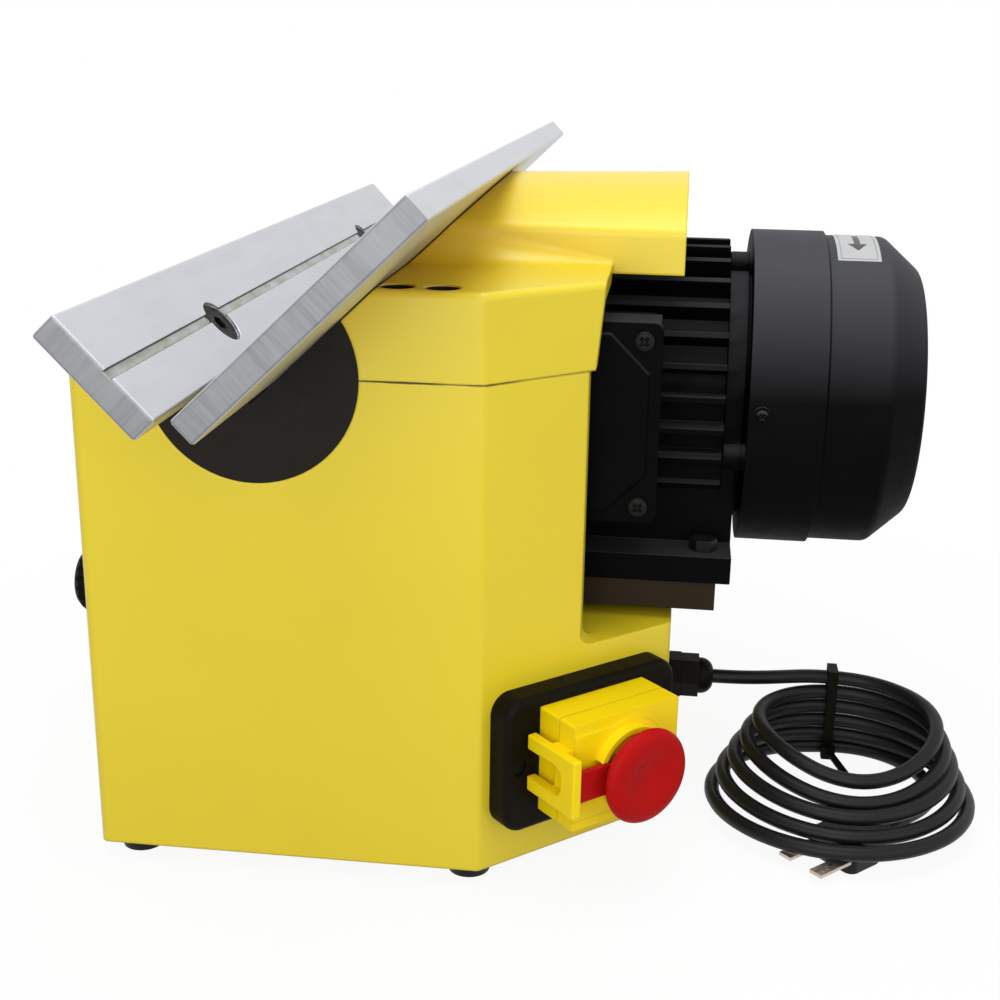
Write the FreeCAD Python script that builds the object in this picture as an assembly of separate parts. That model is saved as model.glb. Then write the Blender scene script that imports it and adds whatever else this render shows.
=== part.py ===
"""Bench-top edge chamfering machine.

Two steel plates form a V guide on a drum that tilts in a split cast body. The cutter sits under
the root of the V on the shaft of a motor, which a dovetail slide and a front screw feed along X.
"""
import FreeCAD, Part
import math
import os

from FreeCAD import Matrix, Placement, Vector

# Sizes in millimetres. Until the pieces are saved, X is measured back from the body's front face,
# Y from the middle plane and Z from the bench.

# Body castings
BODY_WIDTH = 290.0
SIDE_LENGTH = 162.0
BODY_LENGTH = 236.0
REAR_WIDTH = 156.0
WALL = 9.0
CORNER_RADIUS = 4.0
PARTING_Z = 212.5
SHELF_START = 128.0
SHELF_Z = 96.5
BAY_ROOM = 4.9
BOSS_THICKNESS = 30.0
BOSS_FRONT = 18.0
BOSS_REAR = 158.0
BOSS_DEPTH = 62.0
LEDGE_Z = 247.0
UPPER_OVERHANG = 2.4
UPPER_RAKE = 2.9
HOOD_TOP_Z = 281.0
HOOD_SHOULDER_Z = 261.4
HOOD_WIDTH = 122.0
HOOD_FRONT_TOP_Z = 275.5
HOOD_FRONT_SHOULDER_Z = 264.3
HOOD_FRONT_WIDTH = 118.8
HOOD_END = 234.0
HOOD_SKIRT = 3.5
HOOD_ROUND = 5.0
HOOD_COVE = 28.0
HOOD_COVE_END = 2.5
LEDGE_ROUND = 3.0
BAY_FILLET = 5.0

# Clamp screws through the upper casting
CLAMP_X = (127.7, 144.8)
CLAMP_INSET = 10.2
CLAMP_SHANK_R = 4.0
CLAMP_HEAD_R = 6.5
CLAMP_HEAD_H = 8.0
CLAMP_SINK = 20.0
CLAMP_GRIP = 24.0
HOLE_CLEARANCE = 0.5
FIT_CLEARANCE = 0.05

# Feet
FOOT_RADIUS = 9.8
FOOT_HEIGHT = 8.0
FOOT_FRONT_X = 13.0
FOOT_REAR_X = 156.0
FOOT_INSET = 16.5
FOOT_BOSS_HEIGHT = 34.0
FOOT_SCREW_R = 3.0
FOOT_SCREW_HEAD_R = 5.2
FOOT_SCREW_HEAD_H = 3.6
FOOT_SCREW_GRIP = 18.0

# Tilting V guide
DRUM_X = 72.6
DRUM_RADIUS = 42.0
DRUM_CLEARANCE = 0.1
APEX_RISE = 3.8
GUIDE_LEAN = 1.3
TILT_RANGE = 30.0
PLATE_LENGTH = 481.0
PLATE_THICKNESS = 10.5
REAR_PLATE_WIDTH = 105.3
FRONT_PLATE_WIDTH = 45.4
ROOT_GAP = 3.0
PLATE_CHAMFER = 0.8
GROOVE_WIDTH = 3.6
GROOVE_DEPTH = 1.0
GROOVE_RISE = 20.4
SLOPE_GAP = 0.6
PLATE_SCREW_Y = (-132.0, 132.0)
PLATE_SCREW_RISE = 17.1
PLATE_SCREW_R = 4.0
PLATE_SCREW_HEAD_R = 8.8
PLATE_SCREW_SINK = 1.2
PLATE_SCREW_GRIP = 12.0
SOCKET_R = 2.9

# Motor, frame size 71
MOTOR_Z = 185.4
SHAFT_HEIGHT = 71.0
FRAME_START = 150.0
FRAME_LENGTH = 112.0
FRAME_RADIUS = 57.0
FRAME_BORE = 52.0
FIN_RADIUS = 66.5
FIN_THICKNESS = 3.0
FIN_STEP = 12.0
END_RING = 8.0
END_RING_R = 60.5
FEET_LIP = 1.0
FEET_RAIL = 34.0
FEET_THICKNESS = 12.0
FEET_WEB = 14.0
FEET_OVERHANG = 2.0
FOOT_HOLE_SPACING_X = 90.0
FOOT_HOLE_EDGE = 10.0
FOOT_BOLT_R = 3.5
FOOT_BOLT_HEAD_R = 6.0
FOOT_BOLT_HEAD_H = 5.0
SHIELD_THICKNESS = 10.0
SHIELD_SPIGOT = 6.0
SHIELD_NOSE_R = 50.0
SHIELD_LUG = 1.0
FRONT_LUG = 5.0
TIE_BOLT_R = 2.5
TIE_BOLT_HEAD_R = 4.5
TIE_BOLT_HEAD_H = 4.0
TIE_BOLT_CIRCLE = 61.0
COVER_RADIUS = 71.0
COVER_STEP = 1.8
COVER_TAPER = 14.2
COVER_SHEET = 1.6
COVER_GAP = 1.5
COVER_RING = 31.4
COVER_BARREL = 26.5
COVER_CONE = 16.0
COVER_DOME = 4.5
COVER_BEND = 6.0
COVER_SLOTS = 20
COVER_SLOT_WIDTH = 4.0
COVER_SLOT_IN = 16.0
COVER_SLOT_OUT = 46.0
COVER_SCREW_R = 2.0
COVER_SCREW_HEAD_R = 4.0
COVER_SCREW_SETBACK = 5.5
SHAFT_R = 10.0
REAR_SHAFT_R = 8.5
BEARING_OUTER_R = 23.5
BEARING_WIDTH = 14.0
REAR_BEARING_OUTER_R = 20.0
REAR_BEARING_WIDTH = 12.0
ROTOR_RADIUS = 30.0
AIR_GAP = 0.4
CORE_START = 24.0
CORE_LENGTH = 66.0
WINDING_OVERHANG = 10.0
FAN_RADIUS = 60.0
FAN_HUB_R = 15.0
FAN_START = 24.0
FAN_DEPTH = 24.0
FAN_BLADES = 8
FAN_BLADE_THICKNESS = 2.5
FAN_DISC = 3.0

# Terminal box on the motor's side
BOX_SIZE = 84.0
BOX_END = 227.0
BOX_RISE = 2.0
BOX_FACE_Y = 88.0
BOX_WALL = 4.0
BOX_COVER = 5.0
BOX_PANEL = 1.5
BOX_PANEL_INSET = 9.0
BOX_PANEL_CUT = 16.0
BOX_SCREW_INSET = 7.5
BOX_SCREW_R = 2.0
BOX_SCREW_HEAD_R = 4.0
BOX_SCREW_HEAD_H = 2.0
PAN_HEAD_H = 2.4

# Cutter
CUTTER_FACE = 66.0
CUTTER_WIDTH = 12.0
CUTTER_BODY_R = 27.0
CUTTER_HUB_R = 22.0
CUTTER_HUB_END = 104.0
CUTTER_NOSE_R = 30.2
CUTTER_TAPER = 15.0
INSERT_COUNT = 6
INSERT_THICKNESS = 4.0
INSERT_SEAT_R = 20.0
INSERT_SCREW_R = 1.6
CUTTER_BOLT_R = 4.0
CUTTER_BOLT_HEAD_R = 8.0
CUTTER_BOLT_HEAD_H = 5.0
CUTTER_BOLT_GRIP = 24.0
CUTTER_CLEARANCE = 1.5
CUTTER_TRAVEL = 5.0

# Motor slide
FEED_TRAVEL = 5.0
CARRIAGE_START = 140.0
CARRIAGE_END = 254.0
CARRIAGE_WIDTH = 150.0
CARRIAGE_THICKNESS = 12.5
WAY_HEIGHT = 11.0
WAY_WIDTH = 64.0
WAY_SLOPE = 60.0
WAY_CLEARANCE = 0.05
WAY_HEADROOM = 0.3
GIB_THICKNESS = 4.0
GIB_SCREW_R = 2.5
GIB_SCREW_X = (172.0, 203.0, 234.0)

# Feed screw, dial and knob on the front
SCREW_Z = 70.4
SCREW_R = 6.0
SCREW_END = 204.0
NUT_START = 163.0
NUT_LENGTH = 24.0
NUT_WIDTH = 28.0
NUT_DROP = 12.0
NUT_ROOM = 1.5
BUSH_R = 12.0
BUSH_FLANGE_R = 18.0
BUSH_FLANGE = 4.0
BUSH_LENGTH = 30.0
COLLAR_R = 12.0
COLLAR_LENGTH = 8.0
DIAL_R = 22.0
DIAL_LENGTH = 20.0
KNOB_R = 16.0
KNOB_LENGTH = 36.0
KNOB_REACH = 62.0
KNOB_FLUTES = 20
KNOB_FLUTE_R = 1.2
THRUST_GAP = 0.2

# Switch on the right-hand cut corner; along the face from its front edge, up from the bench
SWITCH_PLATE_START = 5.2
SWITCH_PLATE_WIDTH = 88.3
SWITCH_PLATE_Z = 27.3
SWITCH_PLATE_HEIGHT = 58.7
SWITCH_PLATE_THICKNESS = 11.5
SWITCH_PLATE_CORNER = 9.0
SWITCH_PLATE_ROUND = 3.0
SWITCH_SCREW_INSET = 6.8
SWITCH_SCREW_R = 2.0
SWITCH_SCREW_HEAD_R = 3.4
SWITCH_SCREW_SINK = 3.0
SWITCH_BOX_START = 21.7
SWITCH_BOX_WIDTH = 53.7
SWITCH_BOX_Z = 35.0
SWITCH_BOX_HEIGHT = 46.3
SWITCH_BOX_CORNER = 1.2
SWITCH_BOX_DEPTH = 12.0
SWITCH_BODY_DEPTH = 32.0
SWITCH_WINDOW_CLEARANCE = 0.5
LID_DEPTH = 10.5
LID_WALL = 2.5
LID_GAP = 0.3
LID_PANEL_RISE = 0.8
LID_PANEL_MARGIN = 4.7
LID_PANEL_R = 20.2
LID_BOSS_R = 17.8
LID_BOSS_WALL = 2.5
LID_BOSS_HEIGHT = 4.7
LID_PIN_R = 1.5
LID_PIN_INSET = 3.2
LID_KNUCKLE_R = 3.0
LID_HINGE_MARGIN = 8.0
LATCH_GAP = 2.8
LATCH_THICKNESS = 4.2
LATCH_ROUND = 0.8
LATCH_HEIGHT = 24.6
LATCH_REACH = 30.3
LATCH_PROUD = 8.3
LATCH_SLOT = 12.6
LATCH_SLOT_DEPTH = 22.0
LATCH_SLOT_ROUND = 4.0
LATCH_RISE = 1.0
STOP_CAP_R = 20.0
STOP_CAP_STANDOFF = 8.2
STOP_CAP_DEPTH = 7.0
STOP_CAP_DISH = 2.5
STOP_CAP_EDGE = 0.3
STOP_STEM_R = 8.0
STOP_TRAVEL = 3.0
STOP_TAB_WIDTH = 12.6
STOP_TAB_DEPTH = 2.8
BUTTON_R = 7.0
BUTTON_STANDOFF = 5.0
BUTTON_FLANGE = 1.5
BUTTON_WELL = 8.0
BUTTON_CLEARANCE = 0.1
BUTTON_TRAVEL = 3.0
START_OFFSET = 17.0

# Gland, cord and plug at the rear
GLAND_Y = -12.0
GLAND_Z = 43.6
GLAND_THREAD_R = 8.0
GLAND_HEX = 19.0
GLAND_HEX_LENGTH = 6.5
GLAND_GRIP = 8.5
GLAND_GRIP_STEP = 0.8
GLAND_DOME_R = 8.6
GLAND_DOME_LENGTH = 15.5
GLAND_DOME_ROUND = 6.0
GLAND_NUT_LENGTH = 6.0
CORD_D = 6.8
COIL_TURNS = 5
COIL_TIE = Vector(316.0, 0.0, 5.0)
COIL_TOP_R = 38.0
COIL_BOTTOM_R = 60.0
COIL_TOP_BEARING = -84.0
COIL_BOTTOM_BEARING = -90.0
COIL_PITCH = 7.35
COIL_DIP = 3.5
COIL_BUMP = 4.0
COIL_RUN = 13.0
LEAD_START = 5.5
LEAD_POINTS = ((264.0, -12.0, 43.6), (275.8, -10.6, 43.4), (287.0, -7.3, 42.9))
TAIL_CORNERS = 8
TAIL_RUN = 11.3
TAIL_TURN = -17.0
TIE_WIDTH = 4.6
TIE_SHEET = 1.2
TIE_SLACK = 1.1
TIE_HEAD = 6.0
TIE_HEAD_DEPTH = 4.5
TIE_TAIL_END = Vector(327.0, -36.0, 1.0)
TIE_TAIL_WIDTH = 3.4
PLUG_Z = 5.6
PLUG_RELIEF = 16.0
PLUG_RELIEF_R = 5.0
PLUG_LENGTH = 34.0
PLUG_WIDTH = 26.0
PLUG_NECK_WIDTH = 14.0
PLUG_THICKNESS = 10.6
PLUG_CORNER = 4.0
PIN_LENGTH = 18.0
PIN_WIDTH = 6.3
PIN_THICKNESS = 1.5
PIN_SPACING = 17.0
PIN_ROOT = 6.0

# Values worked out from the sizes above
HALF = BODY_WIDTH / 2
REAR_HALF = REAR_WIDTH / 2
FRAME_END = FRAME_START + FRAME_LENGTH
COVER_START = FRAME_END + COVER_GAP
COVER_STEP_RADIUS = COVER_RADIUS - COVER_STEP
COVER_END_RADIUS = COVER_STEP_RADIUS - COVER_TAPER
FAN_END = COVER_START + COVER_RING + COVER_BARREL + COVER_CONE + COVER_DOME
ORIGIN_SHIFT = Vector((KNOB_REACH - FAN_END) / 2, 0, 0)
CARRIAGE_TOP = MOTOR_Z - SHAFT_HEIGHT
CARRIAGE_BOTTOM = CARRIAGE_TOP - CARRIAGE_THICKNESS
WAY_TOP = SHELF_Z + WAY_HEIGHT
FEET_WIDTH = CARRIAGE_WIDTH + 2 * FEET_LIP
APEX = Vector(DRUM_X, 0, PARTING_Z + APEX_RISE)
DRUM_AXIS = Vector(DRUM_X, 0, PARTING_Z)
DOWN_Y = Vector(0, -1, 0)
FAR = 600.0
PLAN = [(0, -HALF), (SIDE_LENGTH, -HALF), (BODY_LENGTH, -REAR_HALF),
        (BODY_LENGTH, REAR_HALF), (SIDE_LENGTH, HALF), (0, HALF)]
FOOT_SPOTS = [(x, side * (HALF - FOOT_INSET))
              for x in (FOOT_FRONT_X, FOOT_REAR_X) for side in (-1, 1)]
CORD_R = CORD_D / 2


# Shape helpers

def box(x0, x1, y0, y1, z0, z1):
    return Part.makeBox(x1 - x0, y1 - y0, z1 - z0, Vector(x0, y0, z0))


def rod_x(x0, x1, radius, y=0.0, z=0.0):
    return Part.makeCylinder(radius, x1 - x0, Vector(x0, y, z), Vector(1, 0, 0))


def rod_y(y0, y1, radius, x, z):
    return Part.makeCylinder(radius, y1 - y0, Vector(x, y0, z), Vector(0, 1, 0))


def rod_z(z0, z1, radius, x, y):
    return Part.makeCylinder(radius, z1 - z0, Vector(x, y, z0))


def inset(points, distance):
    """A convex outline, listed anticlockwise, moved inwards."""
    moved = []
    for i, (x, y) in enumerate(points):
        before = Vector(x - points[i - 1][0], y - points[i - 1][1], 0).normalize()
        after_x, after_y = points[(i + 1) % len(points)]
        after = Vector(after_x - x, after_y - y, 0).normalize()
        normals = Vector(-before.y - after.y, before.x + after.x, 0)
        scale = distance / (1 + before.dot(after))
        moved.append((x + normals.x * scale, y + normals.y * scale))
    return moved


def outline(corners, radius=0.0):
    """A closed wire through 3-D corners, with rounded corners where radius is given."""
    edges = []
    ends = []
    for i, corner in enumerate(corners):
        back = (corners[i - 1] - corner).normalize()
        ahead = (corners[(i + 1) % len(corners)] - corner).normalize()
        half_angle = back.getAngle(ahead) / 2
        if radius == 0 or half_angle > math.radians(89.5):
            ends.append((corner, corner, None))
            continue
        reach = radius / math.tan(half_angle)
        middle = (back + ahead).normalize()
        apex = corner + middle * (radius / math.sin(half_angle) - radius)
        ends.append((corner + back * reach, corner + ahead * reach, apex))
    for i, (start, finish, apex) in enumerate(ends):
        if apex is not None:
            edges.append(Part.Arc(start, apex, finish).toShape())
        edges.append(Part.LineSegment(finish, ends[(i + 1) % len(ends)][0]).toShape())
    return Part.Wire(edges)


def prism_z(points, z0, z1, radius=0.0):
    wire = outline([Vector(x, y, z0) for x, y in points], radius)
    return Part.Face(wire).extrude(Vector(0, 0, z1 - z0))


def prism_y(points, y0, y1):
    wire = outline([Vector(x, y0, z) for x, z in points])
    return Part.Face(wire).extrude(Vector(0, y1 - y0, 0))


def prism_x(points, x0, x1, radius=0.0):
    wire = outline([Vector(x0, y, z) for y, z in points], radius)
    return Part.Face(wire).extrude(Vector(x1 - x0, 0, 0))


def turned_x(profile, y=0.0, z=0.0):
    """A solid of revolution about an X axis, from (x, radius) points."""
    wire = outline([Vector(x, y, z + radius) for x, radius in profile])
    return Part.Face(wire).revolve(Vector(0, y, z), Vector(1, 0, 0), 360)


def turned_crown(stem, crown, x, y):
    """Solid of revolution about an upright axis: a stem of straight lines under a smoothly curved crown."""
    stem_points = [Vector(r, 0, z) for r, z in stem]
    crown_points = [Vector(r, 0, z) for r, z in crown]
    curve = Part.BSplineCurve()
    curve.interpolate(Points=crown_points)
    straight = Part.makePolygon(stem_points + [crown_points[0]])
    axis_line = Part.makeLine(crown_points[-1], stem_points[0])
    face = Part.Face(Part.Wire(straight.Edges + [curve.toShape(), axis_line]))
    solid = face.revolve(Vector(0, 0, 0), Vector(0, 0, 1), 360)
    solid.translate(Vector(x, y, 0))
    return solid


def turned_z(profile, x=0.0, y=0.0):
    """A solid of revolution about a Z axis, from (radius, z) points."""
    wire = outline([Vector(x + radius, y, z) for radius, z in profile])
    return Part.Face(wire).revolve(Vector(x, y, 0), Vector(0, 0, 1), 360)


def moved(shape, vector):
    copy = shape.copy()
    copy.translate(vector)
    return copy


def turned(shape, centre, axis, angle):
    copy = shape.copy()
    copy.rotate(centre, axis, angle)
    return copy


def hexagon(across_flats):
    radius = across_flats / math.sqrt(3)
    return [(radius * math.cos(math.radians(a)), radius * math.sin(math.radians(a)))
            for a in range(0, 360, 60)]


def fuse(shapes):
    return shapes[0].fuse(shapes[1:]).removeSplitter()


def save(name, *shapes):
    solids = [solid for shape in shapes for solid in moved(shape, ORIGIN_SHIFT).Solids]
    whole = solids[0] if len(solids) == 1 else Part.makeCompound(solids)
    whole.exportStep(f"parts/{name}.step")
    print(f"{name}: {len(solids)} solid(s), valid {whole.isValid()}, {whole.Volume / 1000:.1f} cm3")


# Body castings

def over_slope(gap):
    """The space above a plane that lies under the rear guide plate, gap below its underside."""
    space = box(-FAR, FAR, -FAR, FAR, -PLATE_THICKNESS - gap, FAR)
    space.translate(APEX)
    space.rotate(APEX, DOWN_Y, 45)
    space.rotate(DRUM_AXIS, DOWN_Y, -GUIDE_LEAN)
    return space


def side_bosses(z0, z1):
    inner = HALF - BOSS_THICKNESS
    return [box(BOSS_FRONT, BOSS_REAR, y0, y0 + BOSS_THICKNESS, z0, z1) for y0 in (-HALF, inner)]


def drum_bore():
    return rod_y(-FAR, FAR, DRUM_RADIUS + DRUM_CLEARANCE, DRUM_X, PARTING_Z)


def clamp_spots():
    return [(x, side * (HALF - CLAMP_INSET)) for x in CLAMP_X for side in (-1, 1)]


def way_half(z):
    """Half width of the dovetail way at height z."""
    return WAY_WIDTH / 2 - (WAY_TOP - z) / math.tan(math.radians(WAY_SLOPE))


def nut_slot():
    half = NUT_WIDTH / 2 + NUT_ROOM
    reach = FEED_TRAVEL + NUT_ROOM
    return box(NUT_START - reach, NUT_START + NUT_LENGTH + reach, -half, half, SHELF_Z - WALL - 1, WAY_TOP + 1)


def switch_window():
    """Hole in the cut corner for the back of the switch."""
    room = SWITCH_WINDOW_CLEARANCE
    window = box(SWITCH_BOX_START - room, SWITCH_BOX_START + SWITCH_BOX_WIDTH + room,
                 SWITCH_BOX_Z - room, SWITCH_BOX_Z + SWITCH_BOX_HEIGHT + room, -2 * WALL, 1)
    return on_face(window)


def bay_start():
    """Where the cut corner's inner face stands clear of the terminal box, so the motor bay opens."""
    (x0, y0), (x1, y1) = inset(PLAN, WALL)[1:3]
    face = -(BOX_FACE_Y + BOX_COVER + BOX_PANEL + BAY_ROOM)
    return x0 + (face - y0) * (x1 - x0) / (y1 - y0)


def upper_end(z):
    """Raked rear end of the upper casting's side walls."""
    return bay_start() + UPPER_OVERHANG + UPPER_RAKE * (z - PARTING_Z) / (LEDGE_Z - PARTING_Z)


def behind_upper_end(top):
    return prism_y([(upper_end(0), 0), (FAR, 0), (FAR, top), (upper_end(top), top)], -FAR, FAR)


def base_casting():
    outer = prism_z(PLAN, FOOT_HEIGHT, PARTING_Z, CORNER_RADIUS)
    inner = inset(PLAN, WALL)
    cellar = prism_z(inner, FOOT_HEIGHT - 1, SHELF_Z - WALL)
    well = prism_z(inner, SHELF_Z - WALL - 1, PARTING_Z + 1).common(box(0, SHELF_START, -FAR, FAR, 0, FAR))
    bay = prism_z(inner, SHELF_Z, PARTING_Z + 1).common(box(SHELF_START - 1, FAR, -FAR, FAR, 0, FAR))
    deck = box(0, DRUM_X, -HALF, HALF, PARTING_Z - WALL, PARTING_Z + 2)
    room = fuse([well, bay]).cut([deck] + side_bosses(PARTING_Z - BOSS_DEPTH, PARTING_Z + 2))
    notch = box(bay_start(), FAR, -FAR, FAR, SHELF_Z, FAR)
    notch = notch.makeFillet(BAY_FILLET, [edge for edge in notch.Edges if edge.BoundBox.XMax < bay_start() + 1
                                          and edge.BoundBox.ZMax < SHELF_Z + 1])
    way = prism_x([(-way_half(SHELF_Z), SHELF_Z), (way_half(SHELF_Z), SHELF_Z),
                   (way_half(WAY_TOP), WAY_TOP), (-way_half(WAY_TOP), WAY_TOP)], SHELF_START, BODY_LENGTH)
    foot_bosses = [rod_z(FOOT_HEIGHT, FOOT_HEIGHT + FOOT_BOSS_HEIGHT, FOOT_RADIUS + WALL / 4, x, y).common(outer)
                   for x, y in FOOT_SPOTS]
    bush_boss = rod_x(0, BUSH_LENGTH - COLLAR_LENGTH, BUSH_R + WALL, 0, SCREW_Z)
    solid = fuse([outer.cut([cellar, room, notch]), way, bush_boss] + foot_bosses)
    holes = [drum_bore(), nut_slot(), switch_window(),
             rod_x(-1, BUSH_LENGTH + 1, BUSH_R, 0, SCREW_Z),
             rod_x(BODY_LENGTH - WALL - 1, BODY_LENGTH + 1, GLAND_THREAD_R + HOLE_CLEARANCE, GLAND_Y, GLAND_Z)]
    for x, y in clamp_spots():
        holes.append(rod_z(PARTING_Z - CLAMP_GRIP, PARTING_Z + 1, CLAMP_SHANK_R + FIT_CLEARANCE, x, y))
    for x, y in FOOT_SPOTS:
        holes.append(rod_z(FOOT_HEIGHT - 1, FOOT_HEIGHT + FOOT_SCREW_GRIP, FOOT_SCREW_R + FIT_CLEARANCE, x, y))
    for hole in switch_plate_holes(-WALL * 2, 1, SWITCH_SCREW_R + FIT_CLEARANCE):
        holes.append(hole)
    return solid.cut(holes)


def between(front, rear, x):
    """A hood size at x, changing evenly from the body's front to the hood's end."""
    return front + (rear - front) * x / HOOD_END


def hood_half(x):
    return between(HOOD_FRONT_WIDTH, HOOD_WIDTH, x) / 2


def hood_section(x, depth):
    """Arched outline with upright sides at x, depth inside the hood's outer face."""
    half = hood_half(x) - depth
    shoulder = between(HOOD_FRONT_SHOULDER_Z, HOOD_SHOULDER_Z, x) - depth
    top = Vector(x, 0, between(HOOD_FRONT_TOP_Z, HOOD_TOP_Z, x) - depth)
    left, right = Vector(x, -half, shoulder), Vector(x, half, shoulder)
    foot_left, foot_right = Vector(x, -half, PARTING_Z), Vector(x, half, PARTING_Z)
    edges = [Part.LineSegment(foot_left, left).toShape(), Part.Arc(left, top, right).toShape(),
             Part.LineSegment(right, foot_right).toShape(), Part.LineSegment(foot_right, foot_left).toShape()]
    return Part.Wire(edges)


def hood_arch():
    """The hood before it is trimmed, with its long shoulders rounded."""
    arch = Part.makeLoft([hood_section(0, 0), hood_section(HOOD_END, 0)], True, True)
    shoulders = [edge for edge in arch.Edges
                 if edge.BoundBox.XLength > HOOD_END / 2 and edge.BoundBox.ZMin > LEDGE_Z]
    return arch.makeFillet(HOOD_ROUND, shoulders)


def cove_section(side, x, radius):
    corner = Vector(x, side * hood_half(x), LEDGE_Z)
    out = corner + Vector(0, side * radius, 0)
    up = corner + Vector(0, 0, radius)
    centre = corner + Vector(0, side * radius, radius)
    middle = centre + (corner - centre).normalize() * radius
    return Part.Wire([Part.LineSegment(corner, out).toShape(), Part.Arc(out, middle, up).toShape(),
                      Part.LineSegment(up, corner).toShape()])


def hood_cove(side):
    """Hollow corner between the hood's side and the ledge, which runs out towards the rear."""
    return Part.makeLoft([cove_section(side, DRUM_X, HOOD_COVE),
                          cove_section(side, upper_end(LEDGE_Z), HOOD_COVE_END)], True, True)


def upper_casting():
    block = prism_z(PLAN, PARTING_Z, LEDGE_Z, CORNER_RADIUS)
    rim = [edge for edge in block.Edges if edge.BoundBox.ZMin > LEDGE_Z - 0.01]
    block = block.makeFillet(LEDGE_ROUND, rim).cut(behind_upper_end(FAR))
    hood = hood_arch().cut(behind_upper_end(LEDGE_Z - HOOD_SKIRT))
    solid = fuse([block, hood, hood_cove(-1), hood_cove(1)]).cut(over_slope(SLOPE_GAP))
    inner = prism_z(inset(PLAN, WALL), PARTING_Z - 1, LEDGE_Z - WALL)
    attic = Part.makeLoft([hood_section(0, WALL), hood_section(HOOD_END + WALL, WALL)], True, True)
    room = fuse([inner, attic]).cut([over_slope(SLOPE_GAP + WALL)] + side_bosses(0, FAR))
    holes = [room, drum_bore()]
    for x, y in clamp_spots():
        holes.append(rod_z(0, FAR, CLAMP_SHANK_R + HOLE_CLEARANCE, x, y))
        holes.append(rod_z(LEDGE_Z - CLAMP_SINK, FAR, CLAMP_HEAD_R + HOLE_CLEARANCE, x, y))
    return max(solid.cut(holes).Solids, key=lambda piece: piece.Volume)


def cap_screw(x, y, seat_z, grip, shank_r, head_r, head_h):
    shank = rod_z(seat_z - grip, seat_z, shank_r, x, y)
    head = rod_z(seat_z, seat_z + head_h, head_r, x, y)
    socket = prism_z([(x + a, y + b) for a, b in hexagon(head_r)], seat_z + head_h / 2, seat_z + head_h)
    return shank.fuse(head).removeSplitter().cut(socket)


def clamp_screws():
    seat = LEDGE_Z - CLAMP_SINK
    grip = seat - PARTING_Z + CLAMP_GRIP - 1
    return [cap_screw(x, y, seat, grip, CLAMP_SHANK_R, CLAMP_HEAD_R, CLAMP_HEAD_H) for x, y in clamp_spots()]


def rubber_feet():
    feet = []
    for x, y in FOOT_SPOTS:
        foot = turned_z([(0, 0), (FOOT_RADIUS - 1, 0), (FOOT_RADIUS, FOOT_HEIGHT), (0, FOOT_HEIGHT)], x, y)
        pocket = rod_z(-1, FOOT_HEIGHT / 2, FOOT_SCREW_HEAD_R + HOLE_CLEARANCE, x, y)
        feet.append(foot.cut([pocket, rod_z(-1, FOOT_HEIGHT + 1, FOOT_SCREW_R + FIT_CLEARANCE, x, y)]))
    return feet


def foot_screws():
    seat = FOOT_HEIGHT / 2
    screws = []
    for x, y in FOOT_SPOTS:
        shank = rod_z(seat, FOOT_HEIGHT + FOOT_SCREW_GRIP - 1, FOOT_SCREW_R, x, y)
        screws.append(shank.fuse(rod_z(seat - FOOT_SCREW_HEAD_H, seat, FOOT_SCREW_HEAD_R, x, y)).removeSplitter())
    return screws


# Tilting V guide

def set_guide(shape, plate_angle):
    """Turns a plate that lies flat at the apex up to its angle, then leans it with the guide."""
    shape = turned(shape, APEX, DOWN_Y, plate_angle)
    return turned(shape, DRUM_AXIS, DOWN_Y, -GUIDE_LEAN)


def cutter_room():
    """What the cutter sweeps in the guide's own frame as the guide tilts."""
    front = CUTTER_FACE - CUTTER_TRAVEL - CUTTER_CLEARANCE
    largest = CUTTER_NOSE_R + CUTTER_WIDTH * math.tan(math.radians(CUTTER_TAPER))
    room = rod_x(front, FAR, largest + CUTTER_CLEARANCE, 0, MOTOR_Z)
    bolt_room = rod_x(front - CUTTER_BOLT_HEAD_H, FAR, CUTTER_BOLT_HEAD_R + CUTTER_CLEARANCE, 0, MOTOR_Z)
    return [turned(piece, DRUM_AXIS, DOWN_Y, -angle) for angle in (0, TILT_RANGE / 2, TILT_RANGE)
            for piece in (room, bolt_room)]


def tilt_drum():
    drum = rod_y(-HALF, HALF, DRUM_RADIUS, DRUM_X, PARTING_Z)
    notch = box(0, FAR, -FAR, FAR, 0, FAR)
    notch.translate(APEX - Vector(0, 0, PLATE_THICKNESS * math.sqrt(2)))
    notch = turned(notch, APEX - Vector(0, 0, PLATE_THICKNESS * math.sqrt(2)), DOWN_Y, 45)
    notch = turned(notch, DRUM_AXIS, DOWN_Y, -GUIDE_LEAN)
    holes = [set_guide(hole, angle) for hole, angle in plate_screw_rods(PLATE_SCREW_R + FIT_CLEARANCE, 1)]
    return drum.cut([notch] + cutter_room() + holes)


def guide_plate(side, width):
    """Flat plate at the apex, lying along +X for side 1 and along -X for side -1."""
    x0, x1 = sorted((side * ROOT_GAP, side * (ROOT_GAP + width)))
    half = PLATE_LENGTH / 2
    plate = box(x0, x1, -half, half, -PLATE_THICKNESS, 0)
    plate = plate.makeChamfer(PLATE_CHAMFER, plate.Edges)
    plate.translate(APEX)
    return plate


def plate_screw_spots(side):
    x = APEX.x + side * (ROOT_GAP + PLATE_SCREW_RISE)
    return [Vector(x, y, APEX.z) for y in PLATE_SCREW_Y]


def plate_screw_rods(radius, extra):
    """Straight holes for the plate screws, with the angle of the plate each one belongs to."""
    rods = []
    for side, angle in ((1, 45), (-1, -45)):
        for spot in plate_screw_spots(side):
            bottom = spot.z - PLATE_THICKNESS - PLATE_SCREW_GRIP - extra
            rods.append((rod_z(bottom, spot.z + 1, radius, spot.x, spot.y), angle))
    return rods


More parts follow.
